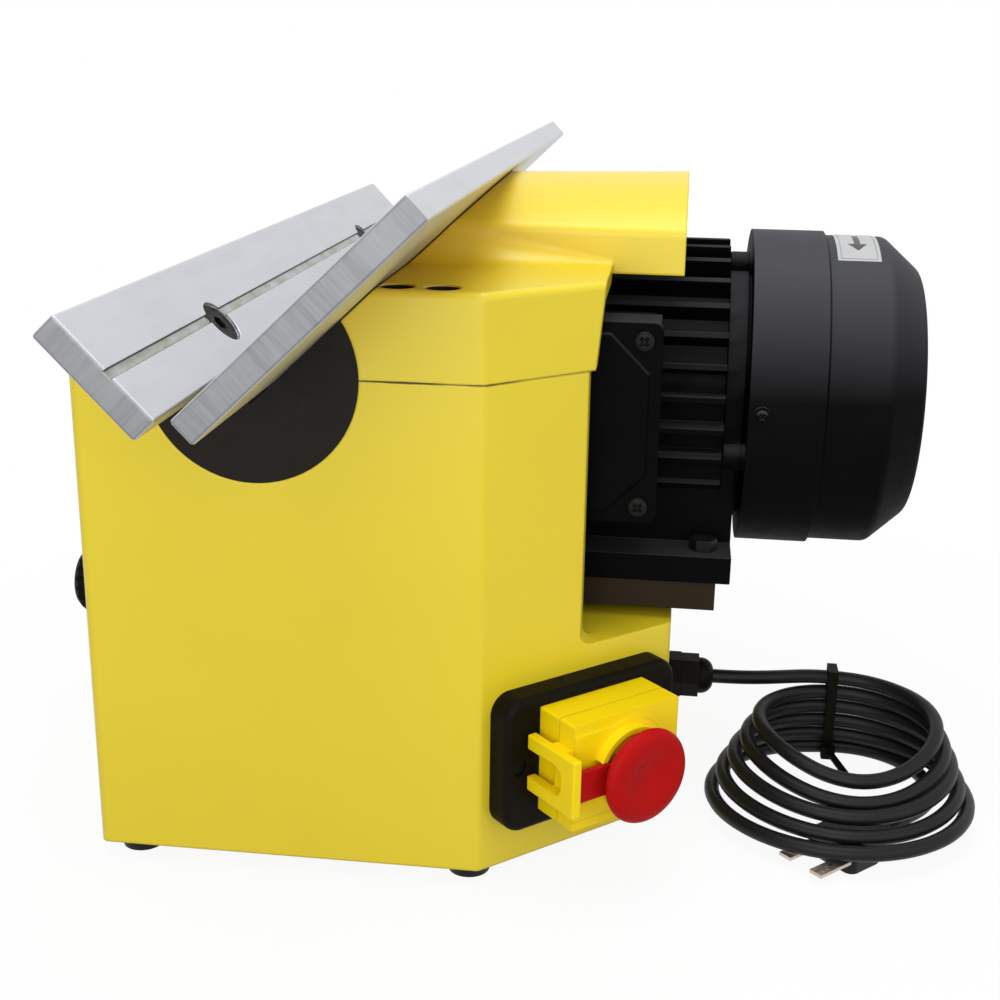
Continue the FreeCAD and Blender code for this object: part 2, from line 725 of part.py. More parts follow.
def countersink(spot, radius, sink):
    """Cone from the plate's face down to the screw's shank, with a short straight mouth."""
    top = spot.z - sink
    depth = radius - PLATE_SCREW_R
    return turned_z([(0, spot.z + 1), (radius, spot.z + 1), (radius, top), (radius - depth, top - depth),
                     (0, top - depth)], spot.x, spot.y)


def finished_plate(side, width, angle):
    plate = guide_plate(side, width)
    for spot in plate_screw_spots(side):
        bore = rod_z(spot.z - 2 * PLATE_THICKNESS, spot.z + 1, PLATE_SCREW_R + HOLE_CLEARANCE, spot.x, spot.y)
        plate = plate.cut([bore, countersink(spot, PLATE_SCREW_HEAD_R + HOLE_CLEARANCE, PLATE_SCREW_SINK)])
    if side < 0:
        x = APEX.x - ROOT_GAP - GROOVE_RISE
        plate = plate.cut(box(x - GROOVE_WIDTH / 2, x + GROOVE_WIDTH / 2, -FAR, FAR, APEX.z - GROOVE_DEPTH, FAR))
    return set_guide(plate, angle).cut(cutter_room())


def guide_plate_screws():
    screws = []
    for side, angle in ((1, 45), (-1, -45)):
        for spot in plate_screw_spots(side):
            top = spot.z - PLATE_SCREW_SINK
            depth = PLATE_SCREW_HEAD_R - PLATE_SCREW_R
            bottom = spot.z - PLATE_THICKNESS - PLATE_SCREW_GRIP
            screw = turned_z([(0, top), (PLATE_SCREW_HEAD_R, top), (PLATE_SCREW_R, top - depth),
                              (PLATE_SCREW_R, bottom), (0, bottom)], spot.x, spot.y)
            socket = prism_z([(spot.x + a, spot.y + b) for a, b in hexagon(2 * SOCKET_R)], top - depth, top + 1)
            screws.append(set_guide(screw.cut(socket), angle))
    return screws


# Motor

def motor_frame():
    barrel = rod_x(FRAME_START, FRAME_END, FRAME_RADIUS, 0, MOTOR_Z)
    fin = box(FRAME_START + END_RING, FRAME_END - END_RING, -FIN_THICKNESS / 2, FIN_THICKNESS / 2,
              MOTOR_Z + FRAME_BORE + 1, MOTOR_Z + FIN_RADIUS)
    axis_point = Vector(0, 0, MOTOR_Z)
    fin_angles = [FIN_STEP * i for i in range(int(360 / FIN_STEP)) if abs(FIN_STEP * i - 180) > 3 * FIN_STEP]
    fins = [turned(fin, axis_point, Vector(1, 0, 0), angle) for angle in fin_angles]
    rings = []
    for x in (FRAME_START, FRAME_END - END_RING):
        rings.append(rod_x(x, x + END_RING, END_RING_R, 0, MOTOR_Z))
        rings += [rod_x(x, x + END_RING, TIE_BOLT_HEAD_R + SHIELD_LUG, y, z) for y, z in tie_bolt_spots()]
    foot_start = FRAME_START
    foot_end = FRAME_END - FEET_OVERHANG
    feet = []
    for side in (-1, 1):
        y0, y1 = sorted((side * FEET_WIDTH / 2, side * (FEET_WIDTH / 2 - FEET_RAIL)))
        feet.append(box(foot_start, foot_end, y0, y1, CARRIAGE_TOP, CARRIAGE_TOP + FEET_THICKNESS))
        w0, w1 = sorted((side * (FEET_WIDTH / 2 - FEET_RAIL), side * (FEET_WIDTH / 2 - FEET_RAIL + FEET_WEB)))
        feet.append(box(foot_start, foot_end, w0, w1, CARRIAGE_TOP, MOTOR_Z))
    pad = box(FRAME_START, BOX_END - BOX_WALL, -FIN_RADIUS - 1, 0,
              box_middle() - BOX_SIZE / 2 + BOX_WALL, box_middle() + BOX_SIZE / 2 - BOX_WALL)
    solid = fuse([barrel, pad] + fins + rings + feet)
    holes = [rod_x(FRAME_START - 1, FRAME_END + 1, FRAME_BORE, 0, MOTOR_Z)]
    holes += [rod_x(FRAME_START - 1, FRAME_END + 1, TIE_BOLT_R + FIT_CLEARANCE, y, z) for y, z in tie_bolt_spots()]
    holes += [rod_z(CARRIAGE_TOP - 1, CARRIAGE_TOP + FEET_THICKNESS + 1, FOOT_BOLT_R + HOLE_CLEARANCE, x, y)
              for x, y in foot_bolt_spots()]
    holes += [rod_z(CARRIAGE_TOP + FEET_THICKNESS, CARRIAGE_TOP + 2 * FEET_THICKNESS,
                    FOOT_BOLT_HEAD_R + HOLE_CLEARANCE, x, y) for x, y in foot_bolt_spots()]
    return solid.cut(holes)


def box_middle():
    return MOTOR_Z + BOX_RISE


def tie_bolt_spots():
    return [(TIE_BOLT_CIRCLE * math.cos(math.radians(a)), MOTOR_Z + TIE_BOLT_CIRCLE * math.sin(math.radians(a)))
            for a in (18, 108, 198, 288)]


def foot_bolt_spots():
    middle = CARRIAGE_END - FOOT_BOLT_HEAD_R - FOOT_HOLE_SPACING_X / 2
    y = CARRIAGE_WIDTH / 2 - FOOT_HOLE_EDGE
    return [(middle + i * FOOT_HOLE_SPACING_X / 2, j * y) for i in (-1, 1) for j in (-1, 1)]


def shield(face_x, outward, bearing_r, bearing_width, shaft_r, lug_length):
    """End shield with a spigot in the frame and a bearing seat; outward is -1 at the drive end."""
    plate = sorted((face_x, face_x + outward * SHIELD_THICKNESS))
    cone = Part.makeCone(END_RING_R - 1, SHIELD_NOSE_R, SHIELD_THICKNESS, Vector(face_x, 0, MOTOR_Z),
                         Vector(outward, 0, 0))
    lug = sorted((face_x, face_x + outward * lug_length))
    lugs = [rod_x(lug[0], lug[1], TIE_BOLT_HEAD_R + SHIELD_LUG, y, z) for y, z in tie_bolt_spots()]
    spigot = sorted((face_x, face_x - outward * SHIELD_SPIGOT))
    hub = sorted((face_x - outward * SHIELD_SPIGOT, face_x + outward * (SHIELD_THICKNESS + WALL / 2)))
    solid = fuse([cone, rod_x(spigot[0], spigot[1], FRAME_BORE - FIT_CLEARANCE, 0, MOTOR_Z),
                  rod_x(hub[0], hub[1], bearing_r + WALL / 2, 0, MOTOR_Z)] + lugs)
    seat = sorted((face_x - outward * (SHIELD_SPIGOT + 1), face_x + outward * (bearing_width - SHIELD_SPIGOT)))
    holes = [rod_x(seat[0], seat[1], bearing_r, 0, MOTOR_Z),
             rod_x(hub[0] - 1, hub[1] + 1, shaft_r + HOLE_CLEARANCE, 0, MOTOR_Z)]
    holes += [rod_x(plate[0] - 1, plate[1] + 1, TIE_BOLT_R + HOLE_CLEARANCE, y, z) for y, z in tie_bolt_spots()]
    return solid.cut(holes)


def bearing(face_x, outward, outer_r, width, shaft_r):
    x0, x1 = sorted((face_x - outward * SHIELD_SPIGOT, face_x + outward * (width - SHIELD_SPIGOT)))
    return rod_x(x0, x1, outer_r, 0, MOTOR_Z).cut(rod_x(x0 - 1, x1 + 1, shaft_r + FIT_CLEARANCE, 0, MOTOR_Z))


def tie_bolts():
    """Bolts from the rear shield, with their threads in the front shield's lugs."""
    bolts = []
    for y, z in tie_bolt_spots():
        head_x = FRAME_END + SHIELD_THICKNESS
        shank = rod_x(FRAME_START - FRONT_LUG, head_x, TIE_BOLT_R, y, z)
        bolts.append(shank.fuse(rod_x(head_x, head_x + TIE_BOLT_HEAD_H, TIE_BOLT_HEAD_R, y, z)).removeSplitter())
    return bolts


def stator():
    x0 = FRAME_START + CORE_START
    x1 = x0 + CORE_LENGTH
    bore = ROTOR_RADIUS + AIR_GAP
    core = rod_x(x0, x1, FRAME_BORE - FIT_CLEARANCE, 0, MOTOR_Z)
    ends = [rod_x(a, a + WINDING_OVERHANG, FRAME_BORE - WALL / 2, 0, MOTOR_Z) for a in (x0 - WINDING_OVERHANG, x1)]
    return fuse([core] + ends).cut(rod_x(x0 - FAR, x1 + FAR, bore, 0, MOTOR_Z))


def rotor_core():
    x0 = FRAME_START + CORE_START
    core = rod_x(x0, x0 + CORE_LENGTH, ROTOR_RADIUS, 0, MOTOR_Z)
    return core.cut(rod_x(x0 - 1, x0 + CORE_LENGTH + 1, SHAFT_R, 0, MOTOR_Z))


def rear_step():
    """Where the shaft steps down for the rear bearing."""
    return FRAME_END - SHIELD_SPIGOT - 1


def motor_shaft():
    front = CUTTER_FACE + CUTTER_WIDTH / 2
    rear = COVER_START + FAN_START + FAN_DEPTH
    shaft = rod_x(front, rear_step(), SHAFT_R, 0, MOTOR_Z)
    shaft = shaft.fuse(rod_x(rear_step(), rear, REAR_SHAFT_R, 0, MOTOR_Z)).removeSplitter()
    return shaft.cut(rod_x(front - 1, front + CUTTER_BOLT_GRIP, CUTTER_BOLT_R + FIT_CLEARANCE, 0, MOTOR_Z))


def cooling_fan():
    x0 = COVER_START + FAN_START
    x1 = x0 + FAN_DEPTH
    hub = rod_x(x0, x1, FAN_HUB_R, 0, MOTOR_Z)
    disc = rod_x(x0, x0 + FAN_DISC, FAN_RADIUS, 0, MOTOR_Z)
    blade = box(x0, x1, -FAN_BLADE_THICKNESS / 2, FAN_BLADE_THICKNESS / 2,
                MOTOR_Z + FAN_HUB_R - 2, MOTOR_Z + FAN_RADIUS - 1)
    blades = [turned(blade, Vector(0, 0, MOTOR_Z), Vector(1, 0, 0), 360 * i / FAN_BLADES)
              for i in range(FAN_BLADES)]
    return fuse([hub, disc] + blades).cut(rod_x(x0 - 1, x1 + 1, REAR_SHAFT_R, 0, MOTOR_Z))


def cover_profile(inset_by):
    """Outside of the fan cover, or its inside when moved in by the sheet's thickness."""
    ring_end = COVER_START + COVER_RING
    barrel_end = ring_end + COVER_BARREL
    cone_end = barrel_end + COVER_CONE - inset_by / 2
    return [(COVER_START, COVER_RADIUS - inset_by), (ring_end - inset_by, COVER_RADIUS - inset_by),
            (ring_end - inset_by + 1, COVER_STEP_RADIUS - inset_by), (barrel_end, COVER_STEP_RADIUS - inset_by),
            (cone_end, COVER_END_RADIUS - inset_by), (FAN_END - inset_by, COVER_END_RADIUS / 3),
            (FAN_END - inset_by, 0)]


def fan_cover():
    outer = turned_x(cover_profile(0) + [(COVER_START, 0)], 0, MOTOR_Z)
    bend_start = COVER_START + COVER_RING + COVER_BARREL - 0.1
    rounds = [edge.BoundBox for edge in outer.Edges]
    bends = [edge for edge, room in zip(outer.Edges, rounds)
             if room.XLength < 0.01 and bend_start < room.XMin < FAN_END - 0.1]
    outer = outer.makeFillet(COVER_BEND, bends)
    inner = turned_x(cover_profile(COVER_SHEET) + [(COVER_START, 0)], 0, MOTOR_Z)
    slot = box(FAN_END - COVER_DOME - COVER_SHEET * 4, FAN_END + 1, -COVER_SLOT_WIDTH / 2, COVER_SLOT_WIDTH / 2,
               MOTOR_Z + COVER_SLOT_IN, MOTOR_Z + COVER_SLOT_OUT)
    slots = [turned(slot, Vector(0, 0, MOTOR_Z), Vector(1, 0, 0), 360 * i / COVER_SLOTS)
             for i in range(COVER_SLOTS)]
    return outer.cut([inner] + slots + [screw for screw in cover_screw_rods(COVER_SCREW_R + FIT_CLEARANCE)])


def cover_screw_rods(radius):
    x = COVER_START + COVER_SCREW_SETBACK
    reach = FIN_RADIUS - 2
    return [Part.makeCylinder(radius, COVER_RADIUS - reach + 1, Vector(x, 0, MOTOR_Z) + spoke * reach, spoke)
            for spoke in cover_spokes()]


def cover_spokes():
    return [Vector(0, -math.cos(math.radians(a)), math.sin(math.radians(a))) for a in (2, 122, 242)]


def fan_cover_screws():
    x = COVER_START + COVER_SCREW_SETBACK
    screws = []
    for spoke in cover_spokes():
        base = Vector(x, 0, MOTOR_Z)
        shank = Part.makeCylinder(COVER_SCREW_R, COVER_RADIUS - FIN_RADIUS + 2, base + spoke * (FIN_RADIUS - 2),
                                  spoke)
        head = Part.makeCylinder(COVER_SCREW_HEAD_R, PAN_HEAD_H / 2, base + spoke * COVER_RADIUS, spoke)
        screws.append(shank.fuse(head).removeSplitter())
    return screws


def rear_shield():
    """The rear shield also carries the ring that the fan cover is screwed to."""
    body = shield(FRAME_END, 1, REAR_BEARING_OUTER_R, REAR_BEARING_WIDTH, REAR_SHAFT_R, SHIELD_THICKNESS)
    ring = rod_x(COVER_START, FRAME_END + SHIELD_THICKNESS, COVER_RADIUS - COVER_SHEET - FIT_CLEARANCE, 0, MOTOR_Z)
    ring = ring.cut(rod_x(FRAME_END, FRAME_END + SHIELD_THICKNESS + 1, SHIELD_NOSE_R, 0, MOTOR_Z))
    holes = [rod_x(FRAME_END - 1, FRAME_END + SHIELD_THICKNESS + 1, TIE_BOLT_R + HOLE_CLEARANCE, y, z)
             for y, z in tie_bolt_spots()]
    return fuse([body, ring]).cut(holes + cover_screw_rods(COVER_SCREW_R + FIT_CLEARANCE))


# Terminal box

def box_square(margin):
    x0, x1 = BOX_END - BOX_SIZE + margin, BOX_END - margin
    z0, z1 = box_middle() - BOX_SIZE / 2 + margin, box_middle() + BOX_SIZE / 2 - margin
    return x0, x1, z0, z1


def box_screw_spots():
    x0, x1, z0, z1 = box_square(BOX_SCREW_INSET)
    return [(x, z) for x in (x0, x1) for z in (z0, z1)]


def terminal_box():
    x0, x1, z0, z1 = box_square(1.0)
    outer = box(x0, x1, -BOX_FACE_Y, -FIN_RADIUS - 1, z0, z1)
    room = box(x0 + BOX_WALL, x1 - BOX_WALL, -BOX_FACE_Y - 1, -FIN_RADIUS - 1 - BOX_WALL,
               z0 + BOX_WALL, z1 - BOX_WALL)
    posts = [rod_y(-BOX_FACE_Y, -FIN_RADIUS - 1, BOX_SCREW_INSET - 1, x, z) for x, z in box_screw_spots()]
    lead_hole = rod_y(-BOX_FACE_Y, 0, BOX_WALL * 2, (x0 + x1) / 2, box_middle())
    holes = [rod_y(-BOX_FACE_Y - 1, -BOX_FACE_Y + 3 * BOX_COVER, BOX_SCREW_R + FIT_CLEARANCE, x, z)
             for x, z in box_screw_spots()]
    return fuse([outer.cut(room)] + posts).cut(holes + [lead_hole])


def terminal_box_cover():
    x0, x1, z0, z1 = box_square(0.0)
    slab = box(x0, x1, -BOX_FACE_Y - BOX_COVER, -BOX_FACE_Y, z0, z1)
    slab = slab.makeFillet(BOX_WALL, [e for e in slab.Edges if abs(e.Vertexes[0].Y - e.Vertexes[1].Y) > 1])
    p0, p1, q0, q1 = box_square(BOX_PANEL_INSET - BOX_WALL)
    cut = BOX_PANEL_CUT
    corners = [(p0 + cut, q0), (p1 - cut, q0), (p1, q0 + cut), (p1, q1 - cut),
               (p1 - cut, q1), (p0 + cut, q1), (p0, q1 - cut), (p0, q0 + cut)]
    face = Part.Face(outline([Vector(x, -BOX_FACE_Y - BOX_COVER, z) for x, z in corners]))
    panel = face.extrude(Vector(0, -BOX_PANEL, 0))
    holes = [rod_y(-FAR, -BOX_FACE_Y + 1, BOX_SCREW_R + HOLE_CLEARANCE, x, z) for x, z in box_screw_spots()]
    return fuse([slab, panel]).cut(holes)


def terminal_cover_screws():
    face = -BOX_FACE_Y - BOX_COVER
    screws = []
    for x, z in box_screw_spots():
        shank = rod_y(face, -BOX_FACE_Y + 2 * BOX_COVER, BOX_SCREW_R, x, z)
        head = rod_y(face - BOX_SCREW_HEAD_H, face, BOX_SCREW_HEAD_R, x, z)
        screws.append(shank.fuse(head).removeSplitter())
    return screws


# Cutter

def cutter_cone(grow):
    """Conical outside of the cutting edges; a larger radius lies further back."""
    slope = math.tan(math.radians(CUTTER_TAPER))
    end = CUTTER_FACE + CUTTER_WIDTH
    return turned_x([(CUTTER_FACE, 0), (CUTTER_FACE, CUTTER_NOSE_R + grow),
                     (end, CUTTER_NOSE_R + CUTTER_WIDTH * slope + grow), (end, 0)], 0, MOTOR_Z)


def insert_blocks():
    block = box(CUTTER_FACE, CUTTER_FACE + CUTTER_WIDTH, 0, INSERT_THICKNESS,
                MOTOR_Z + INSERT_SEAT_R, MOTOR_Z + FAR)
    return [turned(block, Vector(0, 0, MOTOR_Z), Vector(1, 0, 0), 360 * i / INSERT_COUNT)
            for i in range(INSERT_COUNT)]


def insert_screw_rods(radius, y1):
    middle = CUTTER_FACE + CUTTER_WIDTH / 2
    rise = (INSERT_SEAT_R + CUTTER_BODY_R) / 2
    rod = rod_y(0, y1, radius, middle, MOTOR_Z + rise)
    return [turned(rod, Vector(0, 0, MOTOR_Z), Vector(1, 0, 0), 360 * i / INSERT_COUNT)
            for i in range(INSERT_COUNT)]


def cutter_head():
    disc = rod_x(CUTTER_FACE, CUTTER_FACE + CUTTER_WIDTH, CUTTER_BODY_R, 0, MOTOR_Z)
    hub = rod_x(CUTTER_FACE, CUTTER_HUB_END, CUTTER_HUB_R, 0, MOTOR_Z)
    gullets = [turned(box(CUTTER_FACE - 1, CUTTER_FACE + CUTTER_WIDTH, -CUTTER_WIDTH, INSERT_THICKNESS,
                          MOTOR_Z + INSERT_SEAT_R, MOTOR_Z + FAR), Vector(0, 0, MOTOR_Z), Vector(1, 0, 0),
                      360 * i / INSERT_COUNT) for i in range(INSERT_COUNT)]
    shaft_front = CUTTER_FACE + CUTTER_WIDTH / 2
    holes = [rod_x(shaft_front, CUTTER_HUB_END + 1, SHAFT_R, 0, MOTOR_Z),
             rod_x(CUTTER_FACE - 1, shaft_front + 1, CUTTER_BOLT_R + HOLE_CLEARANCE, 0, MOTOR_Z)]
    return fuse([disc, hub]).cut(gullets + holes + insert_screw_rods(INSERT_SCREW_R + FIT_CLEARANCE, CUTTER_WIDTH))


def cutter_inserts():
    cone = cutter_cone(0)
    holes = insert_screw_rods(INSERT_SCREW_R + FIT_CLEARANCE, CUTTER_WIDTH)
    return [block.common(cone).cut(holes) for block in insert_blocks()]


def cutter_bolt():
    shaft_front = CUTTER_FACE + CUTTER_WIDTH / 2
    shank = rod_x(CUTTER_FACE, shaft_front + CUTTER_BOLT_GRIP - 1, CUTTER_BOLT_R, 0, MOTOR_Z)
    head = rod_x(CUTTER_FACE - CUTTER_BOLT_HEAD_H, CUTTER_FACE, CUTTER_BOLT_HEAD_R, 0, MOTOR_Z)
    socket = prism_x([(y, MOTOR_Z + z) for y, z in hexagon(CUTTER_BOLT_HEAD_R)],
                     CUTTER_FACE - CUTTER_BOLT_HEAD_H - 1, CUTTER_FACE - CUTTER_BOLT_HEAD_H / 2)
    return shank.fuse(head).removeSplitter().cut(socket)


# Motor slide and feed screw

def gib_width():
    """Width of the gib measured level, across its sloping faces."""
    return GIB_THICKNESS / math.sin(math.radians(WAY_SLOPE))


def carriage_plate():
    plate = box(CARRIAGE_START, CARRIAGE_END, -CARRIAGE_WIDTH / 2, CARRIAGE_WIDTH / 2,
                CARRIAGE_BOTTOM, CARRIAGE_TOP)
    roof = WAY_TOP + WAY_HEADROOM
    floor = CARRIAGE_BOTTOM - 1
    left_low, left_high = -way_half(floor) - WAY_CLEARANCE, -way_half(roof) - WAY_CLEARANCE
    right_low = way_half(floor) + WAY_CLEARANCE + gib_width()
    right_high = way_half(roof) + WAY_CLEARANCE + gib_width()
    groove = prism_x([(left_low, floor), (right_low, floor), (right_high, roof), (left_high, roof)],
                     CARRIAGE_START - 1, CARRIAGE_END + 1)
    holes = [rod_y(0, CARRIAGE_WIDTH, GIB_SCREW_R + FIT_CLEARANCE, x, gib_screw_z()) for x in GIB_SCREW_X]
    holes += [rod_z(CARRIAGE_BOTTOM - 1, CARRIAGE_TOP + 1, FOOT_BOLT_R + FIT_CLEARANCE, x, y)
              for x, y in foot_bolt_spots()]
    return plate.cut([groove] + holes)


def gib_screw_z():
    return (CARRIAGE_BOTTOM + WAY_TOP) / 2


def slide_gib():
    roof = WAY_TOP
    floor = CARRIAGE_BOTTOM
    low, high = way_half(floor) + WAY_CLEARANCE, way_half(roof) + WAY_CLEARANCE
    return prism_x([(low, floor), (low + gib_width(), floor), (high + gib_width(), roof), (high, roof)],
                   CARRIAGE_START, CARRIAGE_END)


def gib_screws():
    tip = way_half(gib_screw_z()) + WAY_CLEARANCE + gib_width() + GIB_SCREW_R
    return [rod_y(tip, CARRIAGE_WIDTH / 2, GIB_SCREW_R, x, gib_screw_z()) for x in GIB_SCREW_X]


def motor_foot_bolts():
    seat = CARRIAGE_TOP + FEET_THICKNESS
    bolts = []
    for x, y in foot_bolt_spots():
        shank = rod_z(CARRIAGE_BOTTOM + 1, seat, FOOT_BOLT_R, x, y)
        head = prism_z([(x + a, y + b) for a, b in hexagon(2 * FOOT_BOLT_HEAD_R * math.cos(math.pi / 6))],
                       seat, seat + FOOT_BOLT_HEAD_H)
        bolts.append(shank.fuse(head).removeSplitter())
    return bolts


def lead_nut():
    top = WAY_TOP + WAY_HEADROOM
    block = box(NUT_START, NUT_START + NUT_LENGTH, -NUT_WIDTH / 2, NUT_WIDTH / 2, SCREW_Z - NUT_DROP, top)
    return block.cut(rod_x(NUT_START - 1, NUT_START + NUT_LENGTH + 1, SCREW_R + FIT_CLEARANCE, 0, SCREW_Z))


def screw_bush():
    bush = rod_x(0, BUSH_LENGTH - COLLAR_LENGTH, BUSH_R, 0, SCREW_Z)
    flange = rod_x(-BUSH_FLANGE, 0, BUSH_FLANGE_R, 0, SCREW_Z)
    return bush.fuse(flange).removeSplitter().cut(rod_x(-FAR, FAR, SCREW_R + FIT_CLEARANCE, 0, SCREW_Z))


def lead_screw():
    return rod_x(-KNOB_REACH + KNOB_LENGTH / 3, SCREW_END, SCREW_R, 0, SCREW_Z)


def thrust_collar():
    x0 = BUSH_LENGTH - COLLAR_LENGTH + THRUST_GAP
    return rod_x(x0, x0 + COLLAR_LENGTH, COLLAR_R, 0, SCREW_Z).cut(rod_x(x0 - 1, FAR, SCREW_R, 0, SCREW_Z))


def feed_dial():
    x1 = -BUSH_FLANGE - THRUST_GAP
    x0 = x1 - DIAL_LENGTH
    rim = DIAL_R / 8
    dial = turned_x([(x0, 0), (x0, DIAL_R - rim), (x0 + rim, DIAL_R), (x1, DIAL_R), (x1, 0)], 0, SCREW_Z)
    return dial.cut(rod_x(x0 - 1, x1 + 1, SCREW_R, 0, SCREW_Z))


def feed_knob():
    x0 = -KNOB_REACH
    x1 = x0 + KNOB_LENGTH
    neck = -BUSH_FLANGE - THRUST_GAP - DIAL_LENGTH
    rim = KNOB_R / 6
    grip = turned_x([(x0, 0), (x0, KNOB_R - rim), (x0 + rim, KNOB_R), (x1 - rim, KNOB_R), (x1, KNOB_R - rim),
                     (x1, KNOB_R * 0.6), (neck, KNOB_R * 0.6), (neck, 0)], 0, SCREW_Z)
    flutes = []
    for i in range(KNOB_FLUTES):
        angle = 2 * math.pi * i / KNOB_FLUTES
        flutes.append(rod_x(x0 - 1, x1 + 1, KNOB_FLUTE_R,
                            KNOB_R * math.cos(angle), SCREW_Z + KNOB_R * math.sin(angle)))
    return grip.cut(flutes + [rod_x(-KNOB_REACH + KNOB_LENGTH / 3, FAR, SCREW_R, 0, SCREW_Z)])


# Switch, built flat with X along the cut corner, Y up and Z out of the face

def on_face(shape):
    """Carries a shape from the flat switch frame to the right-hand cut corner."""
    along = Vector(BODY_LENGTH - SIDE_LENGTH, HALF - REAR_HALF, 0).normalize()
    out = Vector(along.y, -along.x, 0)
    frame = Matrix(along.x, 0, out.x, SIDE_LENGTH, along.y, 0, out.y, -HALF, 0, 1, 0, 0, 0, 0, 0, 1)
    copy = shape.copy()
    copy.Placement = Placement(frame).multiply(copy.Placement)
    return copy


def switch_screw_spots():
    """One screw near the plate's front end, one midway between the box and the plate's rear end."""
    plate_end = SWITCH_PLATE_START + SWITCH_PLATE_WIDTH
    box_end = SWITCH_BOX_START + SWITCH_BOX_WIDTH
    return SWITCH_PLATE_START + SWITCH_SCREW_INSET, (box_end + plate_end) / 2


def switch_plate_holes(z0, z1, radius):
    middle = SWITCH_PLATE_Z + SWITCH_PLATE_HEIGHT / 2
    return [on_face(rod_z(z0, z1, radius, x, middle)) for x in switch_screw_spots()]


def lid_middle():
    return SWITCH_BOX_START + SWITCH_BOX_WIDTH / 2, SWITCH_BOX_Z + SWITCH_BOX_HEIGHT / 2


def switch_outline(margin):
    x0, x1 = SWITCH_BOX_START + margin, SWITCH_BOX_START + SWITCH_BOX_WIDTH - margin
    y0, y1 = SWITCH_BOX_Z + margin, SWITCH_BOX_Z + SWITCH_BOX_HEIGHT - margin
    return [(x0, y0), (x1, y0), (x1, y1), (x0, y1)]


def lid_base_z():
    return SWITCH_PLATE_THICKNESS + SWITCH_BOX_DEPTH + LID_GAP


def lid_front_z():
    return lid_base_z() + LID_DEPTH


def button_spots():
    x, y = lid_middle()
    return (x - START_OFFSET, y), (x, y)


def switch_back_plate():
    x0, y0 = SWITCH_PLATE_START, SWITCH_PLATE_Z
    x1, y1 = x0 + SWITCH_PLATE_WIDTH, y0 + SWITCH_PLATE_HEIGHT
    plate = prism_z([(x0, y0), (x1, y0), (x1, y1), (x0, y1)], 0, SWITCH_PLATE_THICKNESS, SWITCH_PLATE_CORNER)
    top = [edge for edge in plate.Edges if edge.BoundBox.ZMin > SWITCH_PLATE_THICKNESS - 0.01]
    plate = plate.makeFillet(SWITCH_PLATE_ROUND, top)
    window = prism_z(switch_outline(-SWITCH_WINDOW_CLEARANCE / 2), -1, SWITCH_PLATE_THICKNESS + 1)
    holes = switch_plate_holes(-1, SWITCH_PLATE_THICKNESS + 1, SWITCH_SCREW_R + FIT_CLEARANCE)
    holes += switch_plate_holes(SWITCH_PLATE_THICKNESS - SWITCH_SCREW_SINK, SWITCH_PLATE_THICKNESS + 1,
                                SWITCH_SCREW_HEAD_R + FIT_CLEARANCE)
    return on_face(plate.cut(window)).cut(holes)


def switch_plate_screws():
    middle = SWITCH_PLATE_Z + SWITCH_PLATE_HEIGHT / 2
    seat = SWITCH_PLATE_THICKNESS - SWITCH_SCREW_SINK
    head = SWITCH_SCREW_SINK / 2
    return [on_face(rod_z(-WALL, seat, SWITCH_SCREW_R, x, middle).fuse(
        rod_z(seat, seat + head, SWITCH_SCREW_HEAD_R, x, middle)).removeSplitter()) for x in switch_screw_spots()]


def hinge_line():
    """Lid hinge, upright at the rear end of the switch box."""
    return SWITCH_BOX_START + SWITCH_BOX_WIDTH + LID_PIN_INSET, lid_base_z() - LID_GAP - LID_KNUCKLE_R


def knuckle(y0, y1, radius):
    x, z = hinge_line()
    return Part.makeCylinder(radius, y1 - y0, Vector(x, y0, z), Vector(0, 1, 0))


def hinge_ends():
    return SWITCH_BOX_Z + LID_HINGE_MARGIN, SWITCH_BOX_Z + SWITCH_BOX_HEIGHT - LID_HINGE_MARGIN


def knuckle_heights():
    """Bottom, middle and top stretches of the hinge: the middle one belongs to the lid."""
    y, top = hinge_ends()
    third = (top - y) / 3
    return (y, y + third), (y + third + LID_GAP, y + 2 * third - LID_GAP), (y + 2 * third, y + 3 * third)


def switch_housing():
    front = SWITCH_PLATE_THICKNESS + SWITCH_BOX_DEPTH
    shell = prism_z(switch_outline(0), -SWITCH_BODY_DEPTH, front, SWITCH_BOX_CORNER)
    x, z = hinge_line()
    low, _, high = knuckle_heights()
    arms = []
    for y0, y1 in (low, high):
        arms.append(knuckle(y0, y1, LID_KNUCKLE_R))
        arms.append(box(x - LID_PIN_INSET - 1, x, y0, y1, z - LID_KNUCKLE_R, z))
    solid = fuse([shell] + arms)
    wells = [rod_z(front - BUTTON_WELL, front + 1, BUTTON_R + BUTTON_CLEARANCE, a, b) for a, b in button_spots()]
    y0, y1 = knuckle_heights()[1]
    swing_room = knuckle(y0 - LID_GAP, y1 + LID_GAP, LID_KNUCKLE_R + LID_GAP)
    pin_hole = knuckle(SWITCH_BOX_Z - 1, SWITCH_BOX_Z + SWITCH_BOX_HEIGHT + 1, LID_PIN_R)
    return on_face(solid.cut(wells + [swing_room, pin_hole]))


def lid_hinge_pin():
    bottom, top = hinge_ends()
    return on_face(knuckle(bottom, top, LID_PIN_R))


